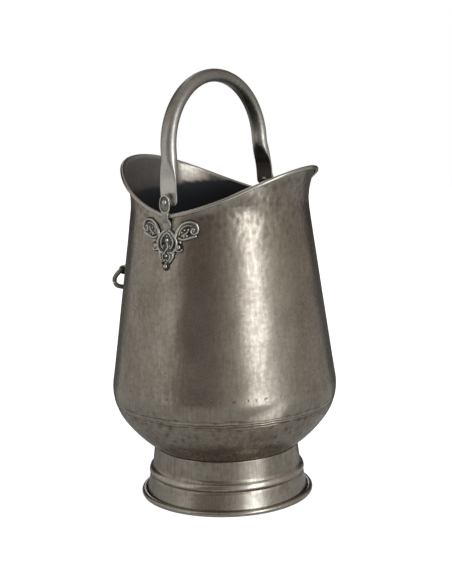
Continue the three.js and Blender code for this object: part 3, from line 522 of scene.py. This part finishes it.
def ear_eye(name, heading):
    """The eye plate in rings from the middle of its back, round its edge, to the panel sunk in its face."""
    turn = full_turn(64)
    width = 8.0 * np.sin(turn) * (1 - 0.05 * np.cos(turn))
    tall = 12.75 * np.cos(turn) + EYE_MIDDLE
    top = EYE_THICK
    share, depth, hollow = np.array([
        (POLE, 0, 0.5), (0.9, 0, 0.5), (1.0, 0.6, 0.3), (1.0, top - 1.0, 0.1), (0.98, top - 0.4, 0),
        (0.93, top - 0.05, 0), (0.85, top, 0), (0.79, top - 0.3, 0.5), (0.74, top - 1.0, 0.8),
        (0.6, top - PANEL_DEPTH, 0.5), (POLE, top - 0.9, 0.4)]).T[..., None]
    level = EYE_MIDDLE + (tall - EYE_MIDDLE) * share
    points = facing(spread(EYE_INSIDE + depth, width * share, PIVOT + level), heading)
    return surface(name, points, {"hollow": hollow}, loop_rows=False)


def ear_stalk(name, heading):
    """The stalk from the eye over the rolled edge and down the wall: sections joined by smooth curves."""
    level = np.array([PIVOT - 13, RIM_LOW + 3.6, RIM_LOW - 3.2, RIM_LOW - 6.5, SCROLL_HEAD - 5,
                      SCROLL_HEAD - 12])
    half = [4.8, 4.4, 4.6, 5.6, 6.6, 3.4]
    thick = [6.8, 5.6, 4.1, 4.4, 3.4, 2.2]
    rim = MOUTH_RADIUS + (RIM_ROLL + SHEET) + 0.6
    inside = [EYE_INSIDE + 0.6, rim - 1.4, rim, *(wall_radius(level[3:]) + [0.3, 0.2, 0.2])]
    z = np.linspace(level[0], level[-1], 50)
    half, inside, thick = (evened(np.interp(z, level[::-1], row[::-1]), 7) for row in (half, inside, thick))
    path = facing(spread(inside + thick / 2, 0.0, z), heading)
    side = facing(np.array([0.0, 1.0, 0.0]), heading)
    hollow = np.interp(z, [SCROLL_HEAD - 13, SCROLL_HEAD - 2, RIM_LOW], [0.6, 0.2, 0.35])
    return swept(name, path, side, thick / 2, half, {"hollow": hollow}, power=3.4, columns=24)


# Radius and height of the head, and radius of the shank
SMALL_RIVET, PIN_HEAD = (3.0, 2.1, 1.7), (3.6, 3.0, 2.55)


def dome(name, seat, out, radius, height, shank, depth):
    """A rivet of revolution about the line out of its seat: domed head, shank, and its tail inside, which
    is as wide as the head."""
    t = np.linspace(0, math.pi / 2, 9)
    r = np.concatenate([[POLE, radius * 0.85, radius, radius, shank, shank], radius * np.cos(t)])
    r[-1] = POLE
    a = np.concatenate([[-depth - 1, -depth - 1, -depth - 0.6, -depth, -depth, 0], height * np.sin(t)])
    out = out / np.linalg.norm(out)
    first = np.cross(out, [0, 0, 1.0])
    first /= np.linalg.norm(first)
    second = np.cross(out, first)
    turn = full_turn(24)[:, None]
    circle = np.cos(turn) * first + np.sin(turn) * second
    points = seat + out * a[:, None, None] + circle * r[:, None, None]
    hollow = np.interp(a, [-depth - 1, -depth, -1, 0, height * 0.45], [0.3, 0.6, 1, 0.9, 0])
    return surface(name, points, {"hollow": hollow[:, None]}, loop_rows=False)


def wall_rivet(name, heading, u, z, plate):
    """A rivet square to the wall, seated on a plate of the given thickness."""
    angle = heading + u / float(wall_radius(z))
    out = np.array([math.cos(TAPER) * math.cos(angle), math.cos(TAPER) * math.sin(angle), math.sin(TAPER)])
    return dome(name, on_wall(u, z, 0.0, heading) + out * (plate + 0.35), out, *SMALL_RIVET, plate + 2.1)


def pin_head(name, heading):
    """The pin that the carrying handle swings on, with its head in the eye's panel."""
    out = np.array([math.cos(heading), math.sin(heading), 0.0])
    return dome(name, out * PIN_SEAT + [0, 0, PIVOT], out, *PIN_HEAD, PIN_SEAT - STRAP_SPAN + 2.3)


def washer(name, heading):
    """A turned washer with softened edges, between the handle and the eye."""
    hole, edge = 2.9, 6.5
    r = np.array([hole, hole + 0.3, edge - 0.4, edge - 0.1, edge, edge - 0.1, edge - 0.4, hole + 0.3, hole])
    a = np.array([0.1, 0.0, 0.0, 0.08, 0.5, 0.92, 1.0, 1.0, 0.9]) * WASHER_THICK
    turn, r = full_turn(40), r[:, None]
    points = spread(WASHER_SEAT + a[:, None], r * np.cos(turn), PIVOT + r * np.sin(turn))
    return surface(name, facing(points, heading), {"hollow": 0.2})


# -------------------- tipping handle
PIN_LEVEL = BELLY_LEVEL + 150.0
LUG_SPAN, LUG_THICK, LUG_REACH, LUG_RADIUS, LUG_HOLE = 38.0, 8.0, 9.0, 6.2, 3.7
LUG_WALL = math.sqrt(float(wall_radius(PIN_LEVEL)) ** 2 - LUG_SPAN**2)
LUG_HEADING = math.atan2(LUG_WALL, LUG_SPAN)
LUG_RIVET = 9.85  # from the pin up or down to a rivet
PIN_REACH = LUG_WALL + LUG_REACH
BAIL_WIRE, BAIL_BEND, BAIL_DROP = 3.1, 4.2, 24.0
BAIL_OFF = 3.2 + 0.57 + 0.5  # from the wall to the middle of the grip's wire


def back_lug(name, side):
    """An eye standing off the wall in layers across its thickness, its outline a neck and a ring."""
    turn = full_turn(56)
    c, s = np.cos(turn), np.sin(turn)
    reach = np.where(c > 0, LUG_RADIUS * c, 8.4 * pressed(c, 0.7))
    tall = LUG_RADIUS * pressed(s, np.where(c > 0, 1, 0.75))
    across, share = np.array([(-4.0, 0.93), (-3.6, 1.0), (3.6, 1.0), (4.0, 0.93)]).T[..., None]
    outer = spread(across, reach * share, tall * share)
    inner = spread(across[::-1], LUG_HOLE * c, LUG_HOLE * s)
    points = (np.concatenate([outer, inner]) + [LUG_SPAN, PIN_REACH, PIN_LEVEL]) * [side, 1, 1]
    return surface(name, points, {"hollow": np.repeat([0.25, 1.0], 4)[:, None]})


def lug_pad(name, side):
    """The pad under a lug: an oval plate laid on the wall, higher in the middle."""
    turn = full_turn(48)
    share, lift, hollow = np.array([(POLE, -0.15, 1), (1.0, -0.15, 1), (1.0, 1.1, 0.7), (0.94, 1.8, 0.3),
                                    (0.8, 2.0, 0.2), (POLE, 2.2, 0.2)]).T[..., None]
    u = share * 5.2 * pressed(np.cos(turn), 0.8)
    z = PIN_LEVEL + share * 13.4 * pressed(np.sin(turn), 0.8)
    return surface(name, on_wall(u, z, lift, LUG_HEADING) * [side, 1, 1], {"hollow": hollow}, loop_rows=False)


def spline(knots, steps):
    """A centripetal curve through every knot, worked out a span at a time."""
    p = np.concatenate([[2 * knots[0] - knots[1]], knots, [2 * knots[-1] - knots[-2]]])
    out = []
    for a, b, c, d in zip(p, p[1:], p[2:], p[3:]):
        t = np.cumsum([0, *(max(np.linalg.norm(q - r), 1e-6) ** 0.5 for q, r in ((b, a), (c, b), (d, c)))])
        s = np.linspace(t[1], t[2], steps, endpoint=False)[:, None]
        one = (t[1] - s) / (t[1] - t[0]) * a + (s - t[0]) / (t[1] - t[0]) * b
        two = (t[2] - s) / (t[2] - t[1]) * b + (s - t[1]) / (t[2] - t[1]) * c
        three = (t[3] - s) / (t[3] - t[2]) * c + (s - t[2]) / (t[3] - t[2]) * d
        left = (t[2] - s) / (t[2] - t[0]) * one + (s - t[0]) / (t[2] - t[0]) * two
        right = (t[3] - s) / (t[3] - t[1]) * two + (s - t[1]) / (t[3] - t[1]) * three
        out.append((t[2] - s) / (t[2] - t[1]) * left + (s - t[1]) / (t[2] - t[1]) * right)
    return np.concatenate([*out, knots[-1:]])


def drop_handle():
    """A bail of round wire: upset ends in the lugs, a bend, sides that swell out, a grip by the wall."""
    face = LUG_SPAN + LUG_THICK / 2 + 0.5
    side = face + BAIL_BEND
    grip = float(wall_radius(PIN_LEVEL - BAIL_DROP)) + BAIL_OFF
    turns = np.radians([0, 20, 40, 60, 80, 90])
    down = BAIL_BEND * (1 - np.cos(turns)) * math.sqrt(0.5)
    corner = np.stack([face + BAIL_BEND * np.sin(turns), PIN_REACH + down, PIN_LEVEL - down], -1)
    end = LUG_SPAN - LUG_THICK / 2 - 2.5
    along = side * np.array([0.84, 0.56, 0.28, 0.0])
    knots = np.array([[end, PIN_REACH, PIN_LEVEL], [LUG_SPAN, PIN_REACH, PIN_LEVEL], *corner,
                      [side + 0.5, PIN_REACH + 10, PIN_LEVEL - BAIL_DROP * 0.52],
                      [side, PIN_REACH + 7.5, PIN_LEVEL - BAIL_DROP * 0.86],
                      *spread(along, np.sqrt(grip**2 - along**2), PIN_LEVEL - BAIL_DROP)])
    path = spline(np.concatenate([knots, (knots * [-1, 1, 1])[::-1][1:]]), 12)
    hollow = 0.5 - 0.4 * smooth((30 - np.abs(path[:, 0])) / 12)
    return swept("drop_bail", path, np.array([0.0, 0.35, 1.0]), BAIL_WIRE, BAIL_WIRE, {"hollow": hollow})


# -------------------- shader node helpers
def feed(tree, node, inputs):
    """Each input of a node is linked to a socket, set to a value, or left alone where None is given."""
    for key, value in inputs.items():
        if isinstance(value, bpy.types.NodeSocket):
            tree.links.new(value, node.inputs[key])
        elif value is not None:
            node.inputs[key].default_value = value


def add_node(tree, kind, inputs=None, **settings):
    node = tree.nodes.new(kind)
    for key, value in settings.items():
        setattr(node, key, value)
    feed(tree, node, inputs or {})
    return node


def maths(tree, operation, a, b=None, clamp=False):
    return add_node(tree, "ShaderNodeMath", {0: a, 1: b}, operation=operation, use_clamp=clamp).outputs[0]


def product(tree, a, b):
    return maths(tree, "MULTIPLY", a, b)


def total(tree, a, b, clamp=False):
    return maths(tree, "ADD", a, b, clamp)


def less(tree, a, b):
    return maths(tree, "SUBTRACT", a, b)


def vector_maths(tree, operation, a, b):
    return add_node(tree, "ShaderNodeVectorMath", {0: a, 1: b}, operation=operation).outputs


def blended(tree, share, low, high):
    return add_node(tree, "ShaderNodeMix", {0: share, 6: low, 7: high}, data_type="RGBA").outputs[2]


def ramp(tree, value, low, high, to_low=0.0, to_high=1.0):
    return add_node(tree, "ShaderNodeMapRange", {0: value, 1: low, 2: high, 3: to_low, 4: to_high},
                    interpolation_type="SMOOTHSTEP").outputs[0]


def object_place(tree):
    return add_node(tree, "ShaderNodeTexCoord").outputs["Object"]


def stretched(tree, place, scale):
    return add_node(tree, "ShaderNodeMapping", {"Vector": place, "Scale": scale}).outputs[0]


def noise(tree, place, scale, detail, roughness=None):
    return add_node(tree, "ShaderNodeTexNoise", {"Vector": place, "Scale": scale, "Detail": detail,
                                                 "Roughness": roughness}).outputs


def bumped(tree, height, strength, distance, normal=None):
    return add_node(tree, "ShaderNodeBump", {"Height": height, "Strength": strength, "Distance": distance,
                                             "Normal": normal}).outputs[0]


def mask(tree, name):
    return add_node(tree, "ShaderNodeAttribute", attribute_name=name).outputs["Fac"]


def new_group(name, size_name, size, *outputs):
    """A node group with one input, the size of its pattern in millimetres, and a few values as outputs."""
    tree = bpy.data.node_groups.new(name, "ShaderNodeTree")
    given = tree.interface.new_socket(name=size_name, in_out="INPUT", socket_type="NodeSocketFloat")
    given.default_value = size
    for label in outputs:
        tree.interface.new_socket(name=label, in_out="OUTPUT", socket_type="NodeSocketFloat")
    pace = maths(tree, "DIVIDE", 1000.0, tree.nodes.new("NodeGroupInput").outputs[0])
    return tree, pace, tree.nodes.new("NodeGroupOutput")


def peening_group():
    """Peening between the hammer marks: soft rounded cells and a finer wavy grain, moved about by noise."""
    tree, pace, out = new_group("Peening", "Mark Size", 5.0, "Height", "Tone")
    flat = stretched(tree, object_place(tree), (1.0, 1.0, 1.35))
    wander = vector_maths(tree, "MULTIPLY", noise(tree, flat, 90.0, 1.0)["Color"], (0.002, 0.002, 0.002))[0]
    moved = vector_maths(tree, "ADD", flat, wander)[0]
    cells = add_node(tree, "ShaderNodeTexVoronoi", {"Vector": moved, "Scale": pace, "Smoothness": 0.9},
                     feature="SMOOTH_F1").outputs["Distance"]
    waves = noise(tree, moved, product(tree, pace, 0.7), 2.0, 0.45)[0]
    feed(tree, out, {"Height": total(tree, product(tree, cells, 0.6), waves),
                     "Tone": ramp(tree, waves, 0.35, 0.65)})
    return tree


def patina_group():
    """Brown-grey clouding, upright rubbing streaks and fine dark specks."""
    tree, pace, out = new_group("PewterPatina", "Cloud Size", 40.0, "Cloud", "Streak", "Speck")
    place = object_place(tree)
    streak = noise(tree, stretched(tree, place, (300.0, 300.0, 20.0)), 1.0, 3.0)[0]
    feed(tree, out, {"Cloud": ramp(tree, noise(tree, place, pace, 4.0, 0.6)[0], 0.32, 0.68),
                     "Streak": ramp(tree, streak, 0.3, 0.7),
                     "Speck": ramp(tree, noise(tree, place, 330.0, 2.0)[0], 0.62, 0.74)})
    return tree


PEENING, PATINA = peening_group(), patina_group()


def placed(tree, group, size):
    return add_node(tree, "ShaderNodeGroup", {0: size}, node_tree=group).outputs


def new_material(name):
    material = bpy.data.materials.new(name)
    material.use_nodes = True
    return material, material.node_tree, material.node_tree.nodes["Principled BSDF"]


DARK_PEWTER = (0.26, 0.21, 0.165, 1)
MID_PEWTER = (0.44, 0.39, 0.325, 1)
LIGHT_PEWTER = (0.72, 0.67, 0.60, 1)
GREY_DARK = (0.25, 0.225, 0.195, 1)
GREY_PEWTER = (0.42, 0.39, 0.345, 1)
SOOT_AND_SHADE_BLACK = (0.026, 0.026, 0.028, 1)
SPECK_BROWN = (0.09, 0.075, 0.06, 1)
PATINA_AND_SHADE_BROWN = (0.10, 0.08, 0.06, 1)
PIT_BROWN = (0.10, 0.085, 0.065, 1)
CAST_BRIGHT, CAST_DARK, CAST_SPECK = (0.68, 0.635, 0.56, 1), (0.03, 0.026, 0.022, 1), (0.05, 0.045, 0.04, 1)
PUNCHES, PUNCH_LEVEL, PUNCH_RADIUS = 62, 164.0, 2.4
PUNCH_WAY = 0.148  # metres from the axis to the wall at the punch marks


def punch_row(tree):
    """A row of round punch marks: nearness to the closest mark, from the angle and the height."""
    x, y, z = add_node(tree, "ShaderNodeSeparateXYZ", {0: object_place(tree)}).outputs
    angle = maths(tree, "ARCTAN2", y, x)
    uneven = product(tree, maths(tree, "SINE", product(tree, angle, 19.0)), 0.25)
    turn = total(tree, product(tree, angle, PUNCHES / TURN), uneven)
    step = maths(tree, "FRACT", total(tree, turn, 100.0))
    across = product(tree, less(tree, step, 0.5), TURN * PUNCH_WAY / PUNCHES)
    wave = product(tree, maths(tree, "SINE", product(tree, angle, 23.0)), 0.0006)
    up = less(tree, less(tree, z, PUNCH_LEVEL * MM), wave)
    far = maths(tree, "SQRT", total(tree, product(tree, across, across), product(tree, up, up)))
    return ramp(tree, far, 0.35 * PUNCH_RADIUS * MM, PUNCH_RADIUS * MM, 1.0, 0.0)


def pewter(name, mark_size, mark_depth, cloud_size, streaks, rough=(0.30, 0.19), bucket=False,
           tones=(DARK_PEWTER, MID_PEWTER)):
    """Hammered pewter: dents catch the light, hollows hold brown patina, edges are rubbed bright. On the
    bucket a row of punch marks runs round above the seam, and the inside is black with soot. Painted shade
    is laid on too: over the inner flare, along the bowl's lap ridges and on the handle straps' inner faces."""
    material, tree, shader = new_material(name)
    marks, age = placed(tree, PEENING, mark_size), placed(tree, PATINA, cloud_size)
    lightened, patina_and_painted_shade = mask(tree, "lightened"), mask(tree, "patina_and_painted_shade")
    tone = total(tree, product(tree, age["Cloud"], 0.32), product(tree, marks["Tone"], 0.22))
    tone = total(tree, tone, product(tree, age["Streak"], streaks))
    # Brown patina in the dents, and painted shade on the lap ridges and on the handle straps' inner faces,
    # darken the tone and the colour
    tone = less(tree, tone, product(tree, patina_and_painted_shade, 0.25))
    tone = total(tree, tone, product(tree, lightened, 0.4), clamp=True)
    colour = blended(tree, tone, *tones)
    colour = blended(tree, product(tree, lightened, 0.6), colour, LIGHT_PEWTER)
    colour = blended(tree, product(tree, age["Speck"], 0.35), colour, SPECK_BROWN)
    colour = blended(tree, ramp(tree, patina_and_painted_shade, 0.7, 2.0, 0.0, 0.6), colour, PATINA_AND_SHADE_BROWN)
    height, metal = marks["Height"], 1.0
    rough = ramp(tree, tone, 0.0, 1.0, *rough)
    if bucket:
        pits = product(tree, punch_row(tree), ramp(tree, age["Cloud"], 0.0, 1.0, 0.4, 1.0))
        height = less(tree, height, product(tree, pits, 3.0))
        colour = blended(tree, product(tree, pits, 0.5), colour, PIT_BROWN)
        # Soot inside the bucket, painted shade over the inner flare and a dark line painted where the bowl
        # meets the foot turn the colour towards black
        soot_and_painted_shade = mask(tree, "soot_and_painted_shade")
        colour = blended(tree, soot_and_painted_shade, colour, SOOT_AND_SHADE_BLACK)
        rough = total(tree, rough, product(tree, soot_and_painted_shade, 0.3))
        metal = ramp(tree, soot_and_painted_shade, 0.0, 1.0, 1.0, 0.3)
    normal = bumped(tree, age["Streak"], 0.25, 0.00005, bumped(tree, height, 1.0, mark_depth * MM))
    feed(tree, shader, {"Base Color": colour, "Roughness": rough, "Metallic": metal, "Normal": normal})
    return material


def cast_metal(name):
    """Cast pewter: near-black patina in the hollows, rubbed bright on what stands proud, fine pitting."""
    material, tree, shader = new_material(name)
    age = placed(tree, PATINA, 14.0)
    deep = total(tree, mask(tree, "hollow"), product(tree, age["Cloud"], 0.25), clamp=True)
    colour = blended(tree, deep, CAST_BRIGHT, CAST_DARK)
    colour = blended(tree, product(tree, age["Speck"], 0.5), colour, CAST_SPECK)
    pits = noise(tree, object_place(tree), 700.0, 2.0)[0]
    feed(tree, shader, {"Base Color": colour, "Roughness": ramp(tree, deep, 0.0, 1.0, 0.22, 0.6),
                        "Metallic": 1.0, "Normal": bumped(tree, pits, 0.8, 0.00014)})
    return material


# Size and depth of the marks and size of the clouds in millimetres, and strength of the streaks
WALL_FINISH = pewter("hammered_wall_pewter", 5.0, 0.055, 45.0, 0.26, bucket=True)
FOOT_FINISH = pewter("spun_foot_pewter", 6.0, 0.04, 30.0, 0.35)
HANDLE_FINISH = pewter("handle_pewter", 6.0, 0.04, 35.0, 0.2, (0.48, 0.30), tones=(GREY_DARK, GREY_PEWTER))
CAST_FINISH = cast_metal("cast_fitting_pewter")


# -------------------- dressing the frame
def dress(piece, finish, body, slot, *nodes):
    """Gives a piece its finish, the body that it rides on and the CAD nodes that it replaces; the slot is not
    used.
    """
    piece.data.materials.append(finish)
    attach(piece, body)
    if nodes:
        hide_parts(*nodes)


def fit(piece, slot, *nodes):
    dress(piece, CAST_FINISH, "bucket", slot, *nodes)


dress(bucket_wall(), WALL_FINISH, "bucket", "hammered_wall", "body_wall")
dress(bucket_bowl(), WALL_FINISH, "bucket", "hammered_wall", "bottom_bowl")
dress(foot_shell(), FOOT_FINISH, "bucket", "hammered_wall", "foot")
dress(carrying_handle(), HANDLE_FINISH, "carrying_handle", "hammered_handle", "carry_handle")
for ear, heading in (("right", 0.0), ("left", math.pi)):
    fit(ear_scrolls("scrollwork_" + ear, heading), "cast_fittings", "ear_bracket_" + ear)
    fit(ear_eye("eye_plate_" + ear, heading), "cast_fittings")
    fit(ear_stalk("stalk_" + ear, heading), "cast_fittings")
    fit(washer("pin_washer_" + ear, heading), "rivets", "ear_washer_" + ear)
    fit(pin_head("pin_head_" + ear, heading), "rivets", "ear_rivet_" + ear)
    front = -SIDE_U if ear == "right" else SIDE_U
    for spot, u, v in (("tip", 0.0, TIP_V), ("front", front, SIDE_V), ("back", -front, SIDE_V)):
        fit(wall_rivet(f"bracket_dome_{ear}_{spot}", heading, u, SCROLL_HEAD + v, BRACKET_PLATE),
            "rivets", f"bracket_rivet_{ear}_{spot}")
for ear, side, heading in (("right", 1, LUG_HEADING), ("left", -1, math.pi - LUG_HEADING)):
    fit(back_lug("lug_eye_" + ear, side), "cast_fittings", "back_lug_" + ear)
    fit(lug_pad("lug_pad_" + ear, side), "cast_fittings")
    for spot, up in (("upper", LUG_RIVET), ("lower", -LUG_RIVET)):
        fit(wall_rivet(f"lug_dome_{ear}_{spot}", heading, 0.0, PIN_LEVEL + up, LUG_PLATE),
            "rivets", f"lug_rivet_{ear}_{spot}")
dress(drop_handle(), CAST_FINISH, "drop_handle", "cast_fittings", "tipping_handle")
for node in ("rim_wire", "foot_wire"):
    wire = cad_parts[node]
    wire.data.materials.clear()
    wire.data.materials.append(HANDLE_FINISH)

# -------------------- camera
AZIMUTH, ELEVATION, ROLL = math.radians(-56.5), math.radians(11.71), math.radians(-1.5)
DISTANCE, LENS, SENSOR = 2.0, 92.65, 36
AIM_RIGHT, AIM_UP = 0.00504, 0.27387  # metres from the foot's middle to what the camera looks at
back = Vector((math.sin(AZIMUTH) * math.cos(ELEVATION), -math.cos(AZIMUTH) * math.cos(ELEVATION),
               math.sin(ELEVATION)))
ground_back = Vector((back.x, back.y, 0)).normalized()
ground_right = Vector((math.cos(AZIMUTH), math.sin(AZIMUTH), 0))
level_up = back.cross(ground_right)
right = ground_right * math.cos(ROLL) + level_up * math.sin(ROLL)
up = level_up * math.cos(ROLL) - ground_right * math.sin(ROLL)
target = ground_right * AIM_RIGHT + Vector((0, 0, AIM_UP))
camera = bpy.data.objects.new("camera", bpy.data.cameras.new("camera"))
scene.collection.objects.link(camera)
turned = Matrix((right, up, back)).transposed().to_4x4()
camera.matrix_world = Matrix.Translation(target + back * DISTANCE) @ turned
camera.data.sensor_width, camera.data.lens = SENSOR, LENS
camera.data.clip_start, camera.data.clip_end = 0.05, 50
scene.camera = camera

# -------------------- studio
scene.view_settings.view_transform = "Standard"
WHITE = (1, 1, 1, 1)
AMBIENT, CEILING = (0.19, 0.175, 0.165), (0.45, 0.44, 0.43)
# Upright panels in the room: heading from the camera to the right (degrees), half width, soft edge, colour
PANELS = [(37, 4, 14, (2.62, 2.95, 3.28)),
          (16, 10, 24, (0.25, 0.25, 0.245)),
          (30, 5, 14, (0.35, 0.37, 0.38)),
          (48, 16, 34, (0.30, 0.31, 0.31)),
          (84, 30, 34, (0.20, 0.205, 0.195)),
          (-92, 38, 6, (0.36, 0.385, 0.39)),
          (-66, 10, 6, (0.18, 0.19, 0.20)),
          (180, 2, 7, (0.95, 1.0, 1.05))]
FLAGS = [(152, 16, 12, (-0.14, -0.13, -0.12)), (-154, 14, 12, (-0.14, -0.13, -0.12))]
PANEL_LEAN = 23.0  # degrees that the panels lean over, for a rise from level to straight up
POOL = (1.7, 1.85, 2.0)  # a painted band of the key's light that lies across the floor, glowing for glossy rays only
POOL_AT, POOL_ALONG = (0.274, 0.165), (0.457, 0.889)  # metres towards the camera and to its right
FLOOR_PALE, FLOOR_SHADED, FLOOR_GLOW = (0.83, 0.87, 0.86, 1), (0.18, 0.18, 0.18, 1), 0.85
FLOOR_RADIUS, FLOOR_HOLE, FLOOR_DROP = 3000.0, 20.0, 0.2


def heading_of(tree, way):
    """Degrees from the camera's heading to that of a vector, positive to the camera's right, and less for
    a vector that rises, because the panels lean over."""
    towards, sideways = (vector_maths(tree, "DOT_PRODUCT", way, tuple(axis))["Value"]
                         for axis in (ground_back, ground_right))
    turned = maths(tree, "DEGREES", maths(tree, "ARCTAN2", sideways, towards))
    rise = add_node(tree, "ShaderNodeSeparateXYZ", {0: way}).outputs[2]
    return total(tree, turned, product(tree, rise, -PANEL_LEAN))


def panel_mask(tree, heading, centre, half, soft):
    """1 within half of a centre, in degrees, and fading to 0 over the soft edge."""
    away = maths(tree, "PINGPONG", less(tree, heading, centre), 180.0)
    return ramp(tree, away, half, half + soft, 1.0, 0.0)


def studio_world():
    """The room round the bucket: a bright key panel to the right with a fill beside it, a long soft panel
    to the left, dark gaps between them, the pale backdrop behind, and a plain ceiling."""
    world = bpy.data.worlds.new("studio")
    scene.world = world
    world.use_nodes = True
    tree = world.node_tree
    way = add_node(tree, "ShaderNodeTexCoord").outputs["Generated"]
    heading, walls = heading_of(tree, way), AMBIENT
    for centre, half, soft, colour in PANELS + FLAGS:
        share = panel_mask(tree, heading, centre, half, soft)
        lit = add_node(tree, "ShaderNodeVectorMath", {0: colour, "Scale": share}, operation="SCALE")
        walls = vector_maths(tree, "ADD", lit.outputs[0], walls)[0]
    height = add_node(tree, "ShaderNodeSeparateXYZ", {0: way}).outputs[2]
    lit = blended(tree, ramp(tree, height, 0.6, 0.85), walls, (*CEILING, 1))
    room = add_node(tree, "ShaderNodeBackground", {"Color": lit, "Strength": 1.0})
    shown = tree.nodes["Background"]
    feed(tree, shown, {"Color": WHITE})
    ray = add_node(tree, "ShaderNodeLightPath").outputs
    seen = maths(tree, "MAXIMUM", ray["Is Camera Ray"], ray["Is Transmission Ray"])
    mixed = add_node(tree, "ShaderNodeMixShader", {0: seen, 1: room.outputs[0], 2: shown.outputs[0]})
    feed(tree, tree.nodes["World Output"], {"Surface": mixed.outputs[0]})


def pale_floor():
    """White to the camera. In what the metal mirrors it is pale, with a painted pool of the key's light
    glowing across it, and painted shade where the flags stand."""
    material, tree, shader = new_material("pale_floor")
    ray = add_node(tree, "ShaderNodeLightPath").outputs
    place = object_place(tree)

    def pool_line(share_back, share_right):
        """How far each point of the floor lies from the pool's start, along a direction, in metres."""
        way = ground_back * share_back + ground_right * share_right
        far = vector_maths(tree, "DOT_PRODUCT", place, tuple(way))["Value"]
        return less(tree, far, POOL_AT[0] * share_back + POOL_AT[1] * share_right)

    aside = maths(tree, "ABSOLUTE", pool_line(POOL_ALONG[1], -POOL_ALONG[0]))
    onward = ramp(tree, pool_line(*POOL_ALONG), -0.06, 0.02)
    # The painted pool of light: a band of the floor that glows for glossy rays only
    pool = product(tree, product(tree, ramp(tree, aside, 0.03, 0.10, 1.0, 0.0), onward), ray["Is Glossy Ray"])
    heading = heading_of(tree, place)
    # Painted shade on the floor where the flags stand, seen by glossy rays only
    flags = [panel_mask(tree, heading, *flag[:3]) for flag in FLAGS]
    shade = product(tree, maths(tree, "MAXIMUM", *flags), ray["Is Glossy Ray"])
    shown = product(tree, ray["Is Camera Ray"], FLOOR_GLOW)
    feed(tree, shader, {"Base Color": blended(tree, shade, FLOOR_PALE, FLOOR_SHADED), "Roughness": 0.9,
                        "Emission Color": blended(tree, ray["Is Camera Ray"], (*POOL, 1), WHITE),
                        "Emission Strength": total(tree, shown, pool)})
    return material


studio_world()
ring, reach = full_turn(96), np.array([[FLOOR_HOLE], [FLOOR_RADIUS]])
disc = spread(reach * np.cos(ring), reach * np.sin(ring), -FLOOR_DROP).reshape(-1, 3)
floor = make_mesh("floor", disc, grid_faces(2, len(ring), False, True).tolist())
floor.data.materials.append(pale_floor())
